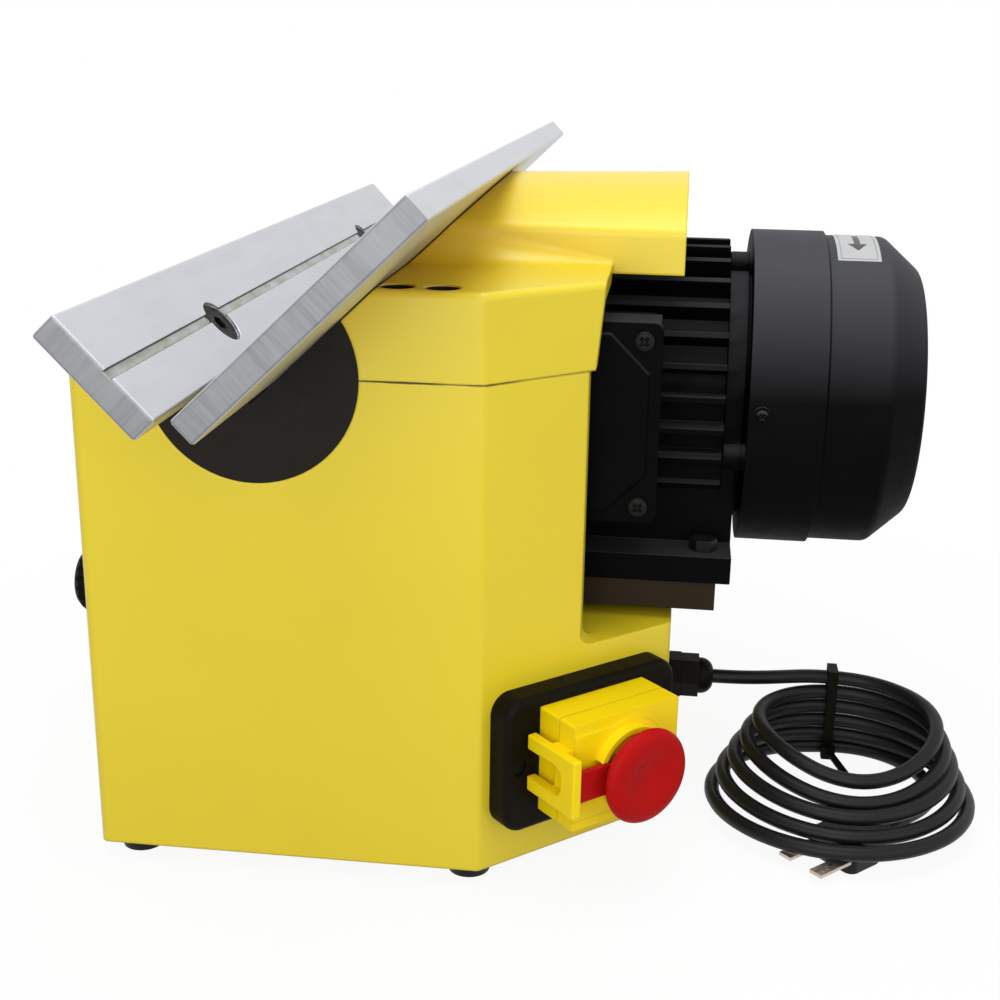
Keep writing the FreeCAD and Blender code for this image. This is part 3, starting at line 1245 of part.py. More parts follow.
def switch_lid():
    base, front = lid_base_z(), lid_front_z()
    face = front - LID_PANEL_RISE
    x, y = lid_middle()
    shell = prism_z(switch_outline(0), base, face, SWITCH_BOX_CORNER)
    room = prism_z(switch_outline(LID_WALL), base - 1, face - LID_WALL)
    panel = box(SWITCH_BOX_START, x, SWITCH_BOX_Z + LID_PANEL_MARGIN,
                SWITCH_BOX_Z + SWITCH_BOX_HEIGHT - LID_PANEL_MARGIN, face - 1, front)
    keyhole = rod_z(face - 1, front, LID_PANEL_R, x, y)
    boss = rod_z(face - LID_WALL, front + LID_BOSS_HEIGHT, LID_BOSS_R, x, y)
    boss_room = rod_z(front + 1, FAR, LID_BOSS_R - LID_BOSS_WALL, x, y)
    stem_hole = rod_z(0, FAR, STOP_STEM_R + HOLE_CLEARANCE, x, y)
    tab_gap = box(SWITCH_BOX_START, x, y - STOP_TAB_WIDTH / 2 - LID_GAP, y + STOP_TAB_WIDTH / 2 + LID_GAP,
                  front, FAR)
    hx, hz = hinge_line()
    y0, y1 = knuckle_heights()[1]
    arm = box(hx - LID_PIN_INSET - LID_WALL, hx + LID_KNUCKLE_R, y0, y1, hz, base + LID_WALL)
    arm = arm.cut(box(0, SWITCH_BOX_START + SWITCH_BOX_WIDTH, 0, FAR, 0, base))
    solid = fuse([shell.cut(room), panel, keyhole, boss, lid_latch(), arm, knuckle(y0, y1, LID_KNUCKLE_R)])
    pin_hole = knuckle(0, FAR, LID_PIN_R + FIT_CLEARANCE)
    return on_face(solid.cut([boss_room, stem_hole, tab_gap, pin_hole]))


def lid_latch():
    """Forked latch: its arms lie along the box's side and its closed end stands in front of the lid."""
    base, front = lid_base_z(), lid_front_z()
    x1 = SWITCH_BOX_START - LATCH_GAP
    x0 = x1 - LATCH_THICKNESS
    y0 = lid_middle()[1] - LATCH_HEIGHT / 2 + LATCH_RISE
    tip = front + LATCH_PROUD
    fork = box(x0, x1, y0, y0 + LATCH_HEIGHT, tip - LATCH_REACH, tip)
    fork = fork.makeFillet(LATCH_ROUND, fork.Edges)
    slot_y = y0 + (LATCH_HEIGHT - LATCH_SLOT) / 2
    slot = box(x0 - 1, x1 + 1, slot_y, slot_y + LATCH_SLOT, 0, tip - LATCH_REACH + LATCH_SLOT_DEPTH)
    ends = [edge for edge in slot.Edges if edge.BoundBox.XLength > LATCH_THICKNESS and edge.BoundBox.ZMin > 1]
    root = box(x1 - 1, SWITCH_BOX_START + 1, y0, y0 + LATCH_HEIGHT, base, front - LID_PANEL_RISE)
    return fuse([fork, root]).cut(slot.makeFillet(LATCH_SLOT_ROUND, ends))


def stop_mushroom():
    x, y = lid_middle()
    front = lid_front_z()
    rim = front + STOP_CAP_STANDOFF
    top = rim + STOP_CAP_DEPTH
    inner = switch_button_top() + LID_GAP
    edge = STOP_CAP_R * STOP_CAP_EDGE
    dish = STOP_CAP_R - edge
    crown = [(dish + edge * math.cos(math.radians(angle)),
              rim + STOP_CAP_DEPTH * (1 + math.sin(math.radians(angle))) / 2) for angle in range(-60, 91, 30)]
    crown += [(dish * share / 5, top - STOP_CAP_DISH * (1 + math.cos(math.pi * share / 5)) / 2)
              for share in range(4, -1, -1)]
    stem = [(0, inner), (STOP_STEM_R, inner), (STOP_STEM_R, rim - 1)]
    cap = turned_crown(stem, crown, x, y)
    tab_z = front + STOP_TRAVEL + LID_GAP
    tab = box(SWITCH_BOX_START - LATCH_GAP + LID_GAP, x, y - STOP_TAB_WIDTH / 2, y + STOP_TAB_WIDTH / 2,
              tab_z, tab_z + STOP_TAB_DEPTH)
    return on_face(cap.fuse(tab).removeSplitter())


def switch_button_top():
    return SWITCH_PLATE_THICKNESS + SWITCH_BOX_DEPTH + BUTTON_STANDOFF


def push_button(spot):
    front = SWITCH_PLATE_THICKNESS + SWITCH_BOX_DEPTH
    x, y = spot
    button = rod_z(front - BUTTON_WELL + BUTTON_TRAVEL + LID_GAP, switch_button_top(), BUTTON_R, x, y)
    return on_face(button.makeFillet(BUTTON_FLANGE / 2, [button.Edges[0]]))


# Gland, cord and plug

def gland_body():
    hexagon_x = prism_x([(GLAND_Y + a, GLAND_Z + b) for a, b in hexagon(GLAND_HEX)],
                        BODY_LENGTH, BODY_LENGTH + GLAND_HEX_LENGTH)
    thread = rod_x(BODY_LENGTH - WALL - GLAND_NUT_LENGTH - 2, BODY_LENGTH, GLAND_THREAD_R, GLAND_Y, GLAND_Z)
    return fuse([hexagon_x, thread]).cut(rod_x(-FAR, FAR, CORD_R, GLAND_Y, GLAND_Z))


def gland_end():
    return BODY_LENGTH + GLAND_HEX_LENGTH + GLAND_DOME_LENGTH


def gland_dome_nut():
    """Hexagonal grip with a rounded nose that closes on the cord."""
    x0 = BODY_LENGTH + GLAND_HEX_LENGTH
    grip = prism_x([(GLAND_Y + a, GLAND_Z + b) for a, b in hexagon(GLAND_HEX - GLAND_GRIP_STEP)],
                   x0, x0 + GLAND_GRIP)
    nose = rod_x(x0, gland_end(), GLAND_DOME_R, GLAND_Y, GLAND_Z)
    nose = nose.makeFillet(GLAND_DOME_ROUND, [edge for edge in nose.Edges
                                              if edge.BoundBox.XMin > gland_end() - 0.01])
    return fuse([grip, nose]).cut(rod_x(-FAR, FAR, CORD_R, GLAND_Y, GLAND_Z))


def gland_lock_nut():
    x1 = BODY_LENGTH - WALL
    nut = prism_x([(GLAND_Y + a, GLAND_Z + b) for a, b in hexagon(GLAND_HEX)], x1 - GLAND_NUT_LENGTH, x1)
    return nut.cut(rod_x(-FAR, FAR, GLAND_THREAD_R, GLAND_Y, GLAND_Z))


def coil_point(turn):
    """Middle of the cord after so many turns; every turn passes the tie, and spreads in front of it."""
    share = turn / COIL_TURNS
    radius = COIL_TOP_R + (COIL_BOTTOM_R - COIL_TOP_R) * share
    bearing = math.radians(COIL_TOP_BEARING + (COIL_BOTTOM_BEARING - COIL_TOP_BEARING) * share)
    angle = 2 * math.pi * turn
    away = math.sin(angle / 2) ** 2
    spoke = bearing + math.pi - angle
    x = radius * (math.cos(bearing) + math.cos(spoke))
    y = radius * (math.sin(bearing) + math.sin(spoke))
    z = (COIL_PITCH - COIL_DIP * away ** 4) * (COIL_TURNS - turn) + COIL_BUMP * away ** 2
    return COIL_TIE + Vector(x, y, z)


def coil_tangent(turn):
    step = 1e-4
    return (coil_point(turn + step) - coil_point(turn - step)).normalize()


def arc_from(start, tangent, finish):
    """Circular arc, or a line where the two ends are in line with the tangent."""
    chord = finish - start
    bend = chord.getAngle(tangent)
    if bend < 1e-6:
        return Part.LineSegment(start, finish).toShape()
    side = (chord - tangent * chord.dot(tangent)).normalize()
    chord_side = (tangent * -math.sin(bend) + side * math.cos(bend)).normalize()
    sagitta = chord.Length / 2 * math.tan(bend / 2)
    return Part.Arc(start, start + chord * 0.5 - chord_side * sagitta, finish).toShape()


def biarc(start, start_tangent, finish, finish_tangent):
    """Two arcs that share a tangent where they meet."""
    gap = finish - start
    both = start_tangent + finish_tangent
    slack = 2 * (1 - start_tangent.dot(finish_tangent))
    reach = (math.sqrt(gap.dot(both) ** 2 + slack * gap.dot(gap)) - gap.dot(both)) / slack
    near, far = start + start_tangent * reach, finish - finish_tangent * reach
    middle = (near + far) * 0.5
    return [arc_from(start, start_tangent, middle), arc_from(middle, (far - near).normalize(), finish)]


def tube(edges):
    path = Part.Wire(edges)
    first = edges[0]
    start = first.valueAt(first.FirstParameter)
    heading = first.tangentAt(first.FirstParameter)
    ring = Part.Wire([Part.makeCircle(CORD_R, start, heading)])
    shell = Part.BRepOffsetAPI.MakePipeShell(path)
    shell.add(ring)
    shell.build()
    shell.makeSolid()
    return shell.shape(), path.Length


def cord_coil():
    edges = []
    quarters = 4 * COIL_TURNS
    for i in range(quarters):
        a, b = i / 4, (i + 1) / 4
        edges += biarc(coil_point(a), coil_tangent(a), coil_point(b), coil_tangent(b))
    coil, length = tube(edges)
    marks = [coil_point(i / 60) for i in range(60 * COIL_TURNS + 1)]
    gap = min((marks[i] - marks[j]).Length for i in range(len(marks)) for j in range(i + 15, len(marks))) - CORD_D
    print(f"coil: length {length:.0f}, volume over section times length "
          f"{coil.Volume / (math.pi * CORD_R ** 2 * length):.4f}, least gap {gap:.2f}")
    return coil


def routed_tube(points, name):
    """Tube along straight runs joined by tangent arcs as large as the shorter run allows."""
    edges = []
    radii = []
    start = points[0]
    for before, corner, after in zip(points, points[1:], points[2:]):
        back, ahead = before - corner, after - corner
        turn = math.pi - back.getAngle(ahead)
        reach = 0.45 * min(back.Length, ahead.Length)
        radius = reach / math.tan(turn / 2)
        radii.append(radius)
        back, ahead = back.normalize(), ahead.normalize()
        first, last = corner + back * reach, corner + ahead * reach
        middle = corner + (back + ahead).normalize() * (radius / math.cos(turn / 2) - radius)
        edges += [Part.LineSegment(start, first).toShape(), Part.Arc(first, middle, last).toShape()]
        start = last
    edges.append(Part.LineSegment(start, points[-1]).toShape())
    shape, length = tube(edges)
    print(f"{name}: length {length:.0f}, radii {[round(r) for r in radii]}, volume over section times length "
          f"{shape.Volume / (math.pi * CORD_R ** 2 * length):.4f}")
    return shape


def cord_lead():
    end = coil_point(0)
    points = [Vector(gland_end() - LEAD_START, GLAND_Y, GLAND_Z)] + [Vector(*p) for p in LEAD_POINTS]
    return routed_tube(points + [end - coil_tangent(0) * COIL_RUN, end], "lead")


def tail_points():
    """Even small turns from the coil's end, round to the plug, rising to the plug's middle."""
    points = [coil_point(COIL_TURNS)]
    heading = coil_tangent(COIL_TURNS)
    bearing = math.degrees(math.atan2(heading.y, heading.x))
    rise = (PLUG_Z - points[0].z) / TAIL_CORNERS
    for i in range(TAIL_CORNERS + 1):
        angle = math.radians(bearing + i * TAIL_TURN)
        step = Vector(TAIL_RUN * math.cos(angle), TAIL_RUN * math.sin(angle), rise if i < TAIL_CORNERS else 0)
        points.append(points[-1] + step)
    return points


def cord_tail():
    return routed_tube(tail_points(), "tail")


def on_plug(shape):
    """Carries a shape built along +X from the cord's end to where the plug lies."""
    before, end = tail_points()[-2:]
    bearing = math.degrees(math.atan2(end.y - before.y, end.x - before.x))
    copy = turned(shape, Vector(0, 0, 0), Vector(0, 0, 1), bearing)
    copy.translate(end)
    return copy


def plug_body():
    relief = Part.makeCone(CORD_R + 0.8, PLUG_RELIEF_R, PLUG_RELIEF + 1, Vector(0, 0, 0), Vector(1, 0, 0))
    x0, x1 = PLUG_RELIEF, PLUG_RELIEF + PLUG_LENGTH
    neck, half = PLUG_NECK_WIDTH / 2, PLUG_WIDTH / 2
    outline_points = [(x0, -neck), (x0 + PLUG_LENGTH / 2, -half), (x1, -half), (x1, half),
                      (x0 + PLUG_LENGTH / 2, half), (x0, neck)]
    slab = prism_z(outline_points, -PLUG_THICKNESS / 2, PLUG_THICKNESS / 2, PLUG_CORNER)
    holes = [box(x1 - PIN_ROOT, x1 + 1, y - PIN_WIDTH / 2, y + PIN_WIDTH / 2,
                 -PIN_THICKNESS / 2, PIN_THICKNESS / 2)
             for y in (-PIN_SPACING / 2, PIN_SPACING / 2)]
    return on_plug(fuse([relief, slab]).cut(holes))


def plug_pins():
    x0 = PLUG_RELIEF + PLUG_LENGTH - PIN_ROOT
    x1 = x0 + PIN_ROOT + PIN_LENGTH
    return [on_plug(box(x0, x1, y - PIN_WIDTH / 2, y + PIN_WIDTH / 2, -PIN_THICKNESS / 2, PIN_THICKNESS / 2))
            for y in (-PIN_SPACING / 2, PIN_SPACING / 2)]


def cable_tie():
    half = CORD_R + TIE_SLACK
    low = COIL_TIE.z - CORD_R - TIE_SLACK / 4
    high = COIL_TIE.z + COIL_PITCH * COIL_TURNS + CORD_R + TIE_SLACK / 4
    x0, x1 = COIL_TIE.x - TIE_WIDTH / 2, COIL_TIE.x + TIE_WIDTH / 2
    y = COIL_TIE.y
    band = box(x0, x1, y - half - TIE_SHEET, y + half + TIE_SHEET, low - TIE_SHEET, high + TIE_SHEET)
    band = band.cut(box(x0 - 1, x1 + 1, y - half, y + half, low, high))
    head = box(x0 - 1, x1 + 1, y - half - TIE_SHEET - TIE_HEAD_DEPTH, y - half - TIE_SHEET + 0.1,
               low + TIE_SHEET, low + TIE_SHEET + TIE_HEAD)
    root = Vector(COIL_TIE.x, y - half - TIE_SHEET - TIE_HEAD_DEPTH / 2, low + TIE_SHEET + TIE_HEAD / 2)
    across = (TIE_TAIL_END - root).cross(Vector(0, 0, 1)).normalize() * (TIE_TAIL_WIDTH / 2)
    strip = Part.Face(outline([root - across, root + across, TIE_TAIL_END + across, TIE_TAIL_END - across]))
    return fuse([band, head, strip.extrude(Vector(0, 0, TIE_SHEET))])


def build():
    os.makedirs("parts", exist_ok=True)
    save("base_casting", base_casting())
    save("upper_casting", upper_casting())
    save("clamp_screws", *clamp_screws())
    save("rubber_feet", *rubber_feet())
    save("foot_screws", *foot_screws())
    save("tilt_drum", tilt_drum())
    save("rear_guide_plate", finished_plate(1, REAR_PLATE_WIDTH, 45))
    save("front_guide_plate", finished_plate(-1, FRONT_PLATE_WIDTH, -45))
    save("guide_plate_screws", *guide_plate_screws())
    save("motor_frame", motor_frame())
    save("motor_front_shield", shield(FRAME_START, -1, BEARING_OUTER_R, BEARING_WIDTH, SHAFT_R, FRONT_LUG))
    save("motor_rear_shield", rear_shield())
    save("front_bearing", bearing(FRAME_START, -1, BEARING_OUTER_R, BEARING_WIDTH, SHAFT_R))
    save("rear_bearing", bearing(FRAME_END, 1, REAR_BEARING_OUTER_R, REAR_BEARING_WIDTH, REAR_SHAFT_R))
    save("motor_tie_bolts", *tie_bolts())
    save("stator", stator())
    save("rotor_core", rotor_core())
    save("motor_shaft", motor_shaft())
    save("cooling_fan", cooling_fan())
    save("fan_cover", fan_cover())
    save("fan_cover_screws", *fan_cover_screws())
    save("terminal_box", terminal_box())
    save("terminal_box_cover", terminal_box_cover())
    save("terminal_cover_screws", *terminal_cover_screws())
    save("motor_foot_bolts", *motor_foot_bolts())
    save("cutter_head", cutter_head())
    save("cutter_inserts", *cutter_inserts())
    save("insert_screws", *insert_screw_rods(INSERT_SCREW_R, CUTTER_WIDTH - 1))
    save("cutter_bolt", cutter_bolt())
    save("carriage_plate", carriage_plate())
    save("slide_gib", slide_gib())
    save("gib_screws", *gib_screws())
    save("lead_nut", lead_nut())
    save("screw_bush", screw_bush())
    save("lead_screw", lead_screw())
    save("thrust_collar", thrust_collar())
    save("feed_dial", feed_dial())
    save("feed_knob", feed_knob())
    save("switch_back_plate", switch_back_plate())
    save("switch_plate_screws", *switch_plate_screws())
    save("switch_housing", switch_housing())
    save("lid_hinge_pin", lid_hinge_pin())
    save("switch_lid", switch_lid())
    save("stop_mushroom", stop_mushroom())
    start_spot, stop_spot = button_spots()
    save("start_button", push_button(start_spot))
    save("stop_button", push_button(stop_spot))
    save("gland_body", gland_body())
    save("gland_dome_nut", gland_dome_nut())
    save("gland_lock_nut", gland_lock_nut())
    save("cord_lead", cord_lead())
    save("cord_coil", cord_coil())
    save("cord_tail", cord_tail())
    save("cable_tie", cable_tie())
    save("plug_body", plug_body())
    save("plug_pins", *plug_pins())


build()
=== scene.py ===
"""Dresses the bench-top chamfering machine: finishes, cord, fasteners, labels, stage and camera."""

import math

import bmesh
import bpy
from bpy.props import FloatProperty, FloatVectorProperty, PointerProperty
from mathutils import Matrix, Vector


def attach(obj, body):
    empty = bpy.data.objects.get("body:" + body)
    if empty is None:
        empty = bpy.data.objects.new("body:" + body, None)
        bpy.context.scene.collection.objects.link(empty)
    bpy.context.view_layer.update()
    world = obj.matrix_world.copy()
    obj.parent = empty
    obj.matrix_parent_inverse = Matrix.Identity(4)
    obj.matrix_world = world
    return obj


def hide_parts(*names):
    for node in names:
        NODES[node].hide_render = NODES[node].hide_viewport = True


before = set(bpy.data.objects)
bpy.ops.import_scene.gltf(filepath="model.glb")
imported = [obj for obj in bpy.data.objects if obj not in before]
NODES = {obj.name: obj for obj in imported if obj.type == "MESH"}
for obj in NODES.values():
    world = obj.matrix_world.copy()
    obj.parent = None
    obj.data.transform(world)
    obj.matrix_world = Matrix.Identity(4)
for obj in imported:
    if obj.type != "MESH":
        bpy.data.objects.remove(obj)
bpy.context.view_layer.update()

bl_info = {
    "name": "Chamfering machine dressing",
    "version": (1, 0, 0),
    "blender": (4, 5, 0),
    "location": "View3D > Sidebar > Chamfering",
    "description": "Finishes, cord, fasteners and stage for a bench-top chamfering machine",
    "category": "Object",
}

MM = 0.001
BACK_SHIFT = 139.95


def at(x, y, z):
    """Point in metres from millimetres: behind the front face, off the middle plane and above the bench."""
    return Vector(((x - BACK_SHIFT) * MM, y * MM, z * MM))


# Finishes

# The values that a noise mostly takes, wide for soft clouds and narrow for firm marks
CLOUD_RANGE = (0.3, 0.7)
MARK_RANGE = (0.35, 0.65)
EDGE_SAMPLES = 6
CORNER_SAMPLES = 8


class Finish:
    """A material under construction, with short calls for the nodes that a finish needs."""

    def __init__(self, name, color, roughness, metallic=0.0):
        self.material = bpy.data.materials.new(name)
        self.material.use_nodes = True
        self.tree = self.material.node_tree
        self.shader = self.tree.nodes["Principled BSDF"]
        self.shader.inputs["Base Color"].default_value = (*color, 1.0)
        self.shader.inputs["Roughness"].default_value = roughness
        self.shader.inputs["Metallic"].default_value = metallic
        here = self.tree.nodes.new("ShaderNodeTexCoord")
        self.place = here.outputs["Object"]
        self.normal = here.outputs["Normal"]
        self.edge_normal = None

    def put(self, socket, value):
        self.shader.inputs[socket].default_value = value

    def stretched(self, scale):
        node = self.tree.nodes.new("ShaderNodeMapping")
        node.inputs["Scale"].default_value = scale
        self.tree.links.new(self.place, node.inputs["Vector"])
        return node.outputs["Vector"]

    def noise(self, scale, detail=3.0, roughness=0.5, stretch=None):
        node = self.tree.nodes.new("ShaderNodeTexNoise")
        node.inputs["Scale"].default_value = scale
        node.inputs["Detail"].default_value = detail
        node.inputs["Roughness"].default_value = roughness
        self.tree.links.new(self.stretched(stretch) if stretch else self.place, node.inputs["Vector"])
        return node.outputs["Fac"]

    def spread(self, value, from_low, from_high, to_low, to_high):
        node = self.tree.nodes.new("ShaderNodeMapRange")
        for socket, number in zip(("From Min", "From Max", "To Min", "To Max"),
                                  (from_low, from_high, to_low, to_high)):
            node.inputs[socket].default_value = number
        self.tree.links.new(value, node.inputs["Value"])
        return node.outputs["Result"]

    def clouds(self, scale, detail, low=0.0, high=1.0):
        """Soft noise that runs from low to high."""
        return self.spread(self.noise(scale, detail), *CLOUD_RANGE, low, high)

    def marks(self, scale, detail, roughness, stretch=None, high=1.0):
        """Firmer noise that runs from 0 to high, drawn out where stretch is below 1."""
        return self.spread(self.noise(scale, detail, roughness, stretch), *MARK_RANGE, 0.0, high)

    def blend(self, factor, first, second):
        node = self.tree.nodes.new("ShaderNodeMix")
        node.data_type = "RGBA"
        self.tree.links.new(factor, node.inputs["Factor"])
        for socket, color in (("A", first), ("B", second)):
            target = next(s for s in node.inputs if s.name == socket and s.type == "RGBA")
            if isinstance(color, bpy.types.NodeSocket):
                self.tree.links.new(color, target)
            else:
                target.default_value = (*color, 1.0)
        return next(s for s in node.outputs if s.type == "RGBA")

    def color(self, socket):
        self.tree.links.new(socket, self.shader.inputs["Base Color"])

    def rough(self, socket):
        self.tree.links.new(socket, self.shader.inputs["Roughness"])

    def soft_edges(self, radius):
        """Shades sharp edges as if they were rounded; bumps laid on later keep the rounding."""
        node = self.tree.nodes.new("ShaderNodeBevel")
        node.samples = EDGE_SAMPLES
        node.inputs["Radius"].default_value = radius
        self.edge_normal = node.outputs["Normal"]
        self.tree.links.new(self.edge_normal, self.shader.inputs["Normal"])

    def occlusion(self, distance):
        """1 in the open and towards 0 in corners, within the given distance."""
        node = self.tree.nodes.new("ShaderNodeAmbientOcclusion")
        node.samples = CORNER_SAMPLES
        node.inputs["Distance"].default_value = distance
        return node.outputs["AO"]

    def bumpy(self, *layers):
        """Each layer is (height socket, strength, distance in metres)."""
        normal = self.edge_normal
        for height, strength, distance in layers:
            node = self.tree.nodes.new("ShaderNodeBump")
            node.inputs["Strength"].default_value = strength
            node.inputs["Distance"].default_value = distance
            self.tree.links.new(height, node.inputs["Height"])
            if normal is not None:
                self.tree.links.new(normal, node.inputs["Normal"])
            normal = node.outputs["Normal"]
        self.tree.links.new(normal, self.shader.inputs["Normal"])

    def math(self, operation, *values):
        """One Math node, in which each value is a socket or a number."""
        node = self.tree.nodes.new("ShaderNodeMath")
        node.operation = operation
        for socket, value in zip(node.inputs, values):
            if isinstance(value, bpy.types.NodeSocket):
                self.tree.links.new(value, socket)
            else:
                socket.default_value = value
        return node.outputs["Value"]

    def product(self, first, second):
        return self.math("MULTIPLY", first, second)

    def part(self, vector, axis):
        split = self.tree.nodes.new("ShaderNodeSeparateXYZ")
        self.tree.links.new(vector, split.inputs["Vector"])
        return split.outputs[axis]

    def facing(self, axis):
        """How far a surface faces along one of the finish's axes, either way, from 0 to 1."""
        return self.math("ABSOLUTE", self.part(self.normal, axis))

    def distance_from(self, axis, value):
        return self.math("ABSOLUTE", self.math("SUBTRACT", self.part(self.place, axis), value))

    def turn_about_y(self, angle):
        """Turns the axes that the finish is laid out in."""
        for name in ("place", "normal"):
            node = self.tree.nodes.new("ShaderNodeMapping")
            node.vector_type = "TEXTURE"
            node.inputs["Rotation"].default_value = (0.0, angle, 0.0)
            self.tree.links.new(getattr(self, name), node.inputs["Vector"])
            setattr(self, name, node.outputs["Vector"])

    def near_edges(self, reach):
        """1 on sharp edges and 0 further than reach, in metres, from them."""
        rounded = self.tree.nodes.new("ShaderNodeBevel")
        rounded.inputs["Radius"].default_value = reach
        flat = self.tree.nodes.new("ShaderNodeNewGeometry")
        turn = self.tree.nodes.new("ShaderNodeVectorMath")
        turn.operation = "DOT_PRODUCT"
        self.tree.links.new(rounded.outputs["Normal"], turn.inputs[0])
        self.tree.links.new(flat.outputs["Normal"], turn.inputs[1])
        return self.spread(turn.outputs["Value"], 0.99, 0.80, 0.0, 1.0)


def shade(color, factor):
    return tuple(min(1.0, c * factor) for c in color)


def tinted(color, tint):
    return tuple(c * t for c, t in zip(color, tint))


PARTING_HEIGHT = 0.2125
CASTING_ROUND = 0.0016
# Painted shade: corners are tinted a darker orange-brown within this reach and above these heights
CORNER_SHADE_REACH = 0.045
CORNER_SHADE_TINT = (0.82, 0.64, 0.3)
CORNER_SHADE_HEIGHTS = (PARTING_HEIGHT - 0.03, PARTING_HEIGHT + 0.01)
CRACK = (0.035, 0.024, 0.006)
CRACK_WIDTHS = (0.0001, 0.0005)
CRACK_FADE = 0.0003


def casting_paint(name, color):
    """Sprayed paint over a cast surface: faintly cloudy, orange-peeled and cracked along the parting line,
    with painted shade: an orange-brown darkening in the corners from a little below the parting line upwards.
    """
    finish = Finish(name, color, 0.34)
    finish.soft_edges(CASTING_ROUND)
    paint = finish.blend(finish.clouds(9.0, 2.0), shade(color, 0.975), shade(color, 1.02))
    # Painted shade: darker orange-brown where the occlusion finds corners, from a little below the parting
    # line upwards
    corner = finish.spread(finish.occlusion(CORNER_SHADE_REACH), 0.2, 0.8, 1.0, 0.0)
    raised = finish.spread(finish.part(finish.place, "Z"), *CORNER_SHADE_HEIGHTS, 0.0, 1.0)
    paint = finish.blend(finish.product(corner, raised), paint, tinted(color, CORNER_SHADE_TINT))
    width = finish.spread(finish.noise(60.0, 4.0, 0.7), *MARK_RANGE, *CRACK_WIDTHS)
    outside = finish.math("SUBTRACT", finish.distance_from("Z", PARTING_HEIGHT), width)
    crack = finish.spread(outside, 0.0, CRACK_FADE, 1.0, 0.0)
    filled = finish.spread(finish.noise(22.0, 3.0), 0.42, 0.58, 0.35, 0.95)
    upright = finish.spread(finish.part(finish.normal, "Z"), 0.3, 0.6, 1.0, 0.0)
    finish.color(finish.blend(finish.product(finish.product(crack, upright), filled), paint, CRACK))
    finish.rough(finish.clouds(60.0, 3.0, 0.30, 0.38))
    finish.bumpy((finish.noise(420.0, 2.0), 0.08, 0.0003), (finish.noise(38.0, 3.0), 0.08, 0.0010))
    return finish.material


def motor_paint(name, color, painted_top_light, gloss):
    """Satin black paint with a fine grain, and a painted highlight: upward faces are made paler, as if lit
    from above.
    """
    finish = Finish(name, color, 0.55)
    finish.rough(finish.clouds(150.0, 3.0, 0.50, 0.60))
    paint = finish.blend(finish.clouds(30.0, 3.0), shade(color, 0.85), shade(color, 1.2))
    # Painted highlight: faces turned upwards are blended towards a paler colour
    painted_top_mask = finish.spread(finish.part(finish.normal, "Z"), 0.12, 0.85, 0.0, 1.0)
    finish.color(finish.blend(painted_top_mask, paint, painted_top_light))
    finish.bumpy((finish.noise(900.0, 2.0), 0.10, 0.0003))
    finish.put("Specular IOR Level", gloss)
    return finish.material


def ground_steel(name, color, along):
    """Surface-ground steel: fine parallel lines along one axis and a soft mottled tone."""
    finish = Finish(name, color, 0.34, 1.0)
    stretch = tuple(0.02 if axis == along else 1.0 for axis in "XYZ")
    lines = finish.noise(2600.0, 4.0, 0.6, stretch)
    finish.color(finish.blend(finish.clouds(22.0, 4.0), shade(color, 0.94), shade(color, 1.04)))
    finish.rough(finish.spread(lines, *CLOUD_RANGE, 0.28, 0.44))
    finish.bumpy((lines, 0.08, 0.0002))
    return finish.material


PLATE_STEEL = (0.58, 0.59, 0.62)
REAR_PLATE_TURN = math.radians(-43.7)
FRONT_PLATE_TURN = math.radians(46.3)
ALONG_PLATE = (1.0, 0.03, 1.0)
STREAKED = (1.0, 0.10, 1.0)
THROUGH_PLATE = (1.0, 1.0, 0.05)
WORN = (1.0, 1.0, 0.3)
ALONG_GROOVE = (1.0, 0.5, 1.0)
NICK_REACH = 0.0010
PLATE_GROOVE = (-0.22627, 0.09983)
GROOVE_HALF = 0.0019
# Painted shade on the groove's walls; the floor colour below is a real stain
PAINTED_GROOVE_SHADE = (0.030, 0.034, 0.016)
GROOVE_FLOOR = (0.34, 0.36, 0.27)


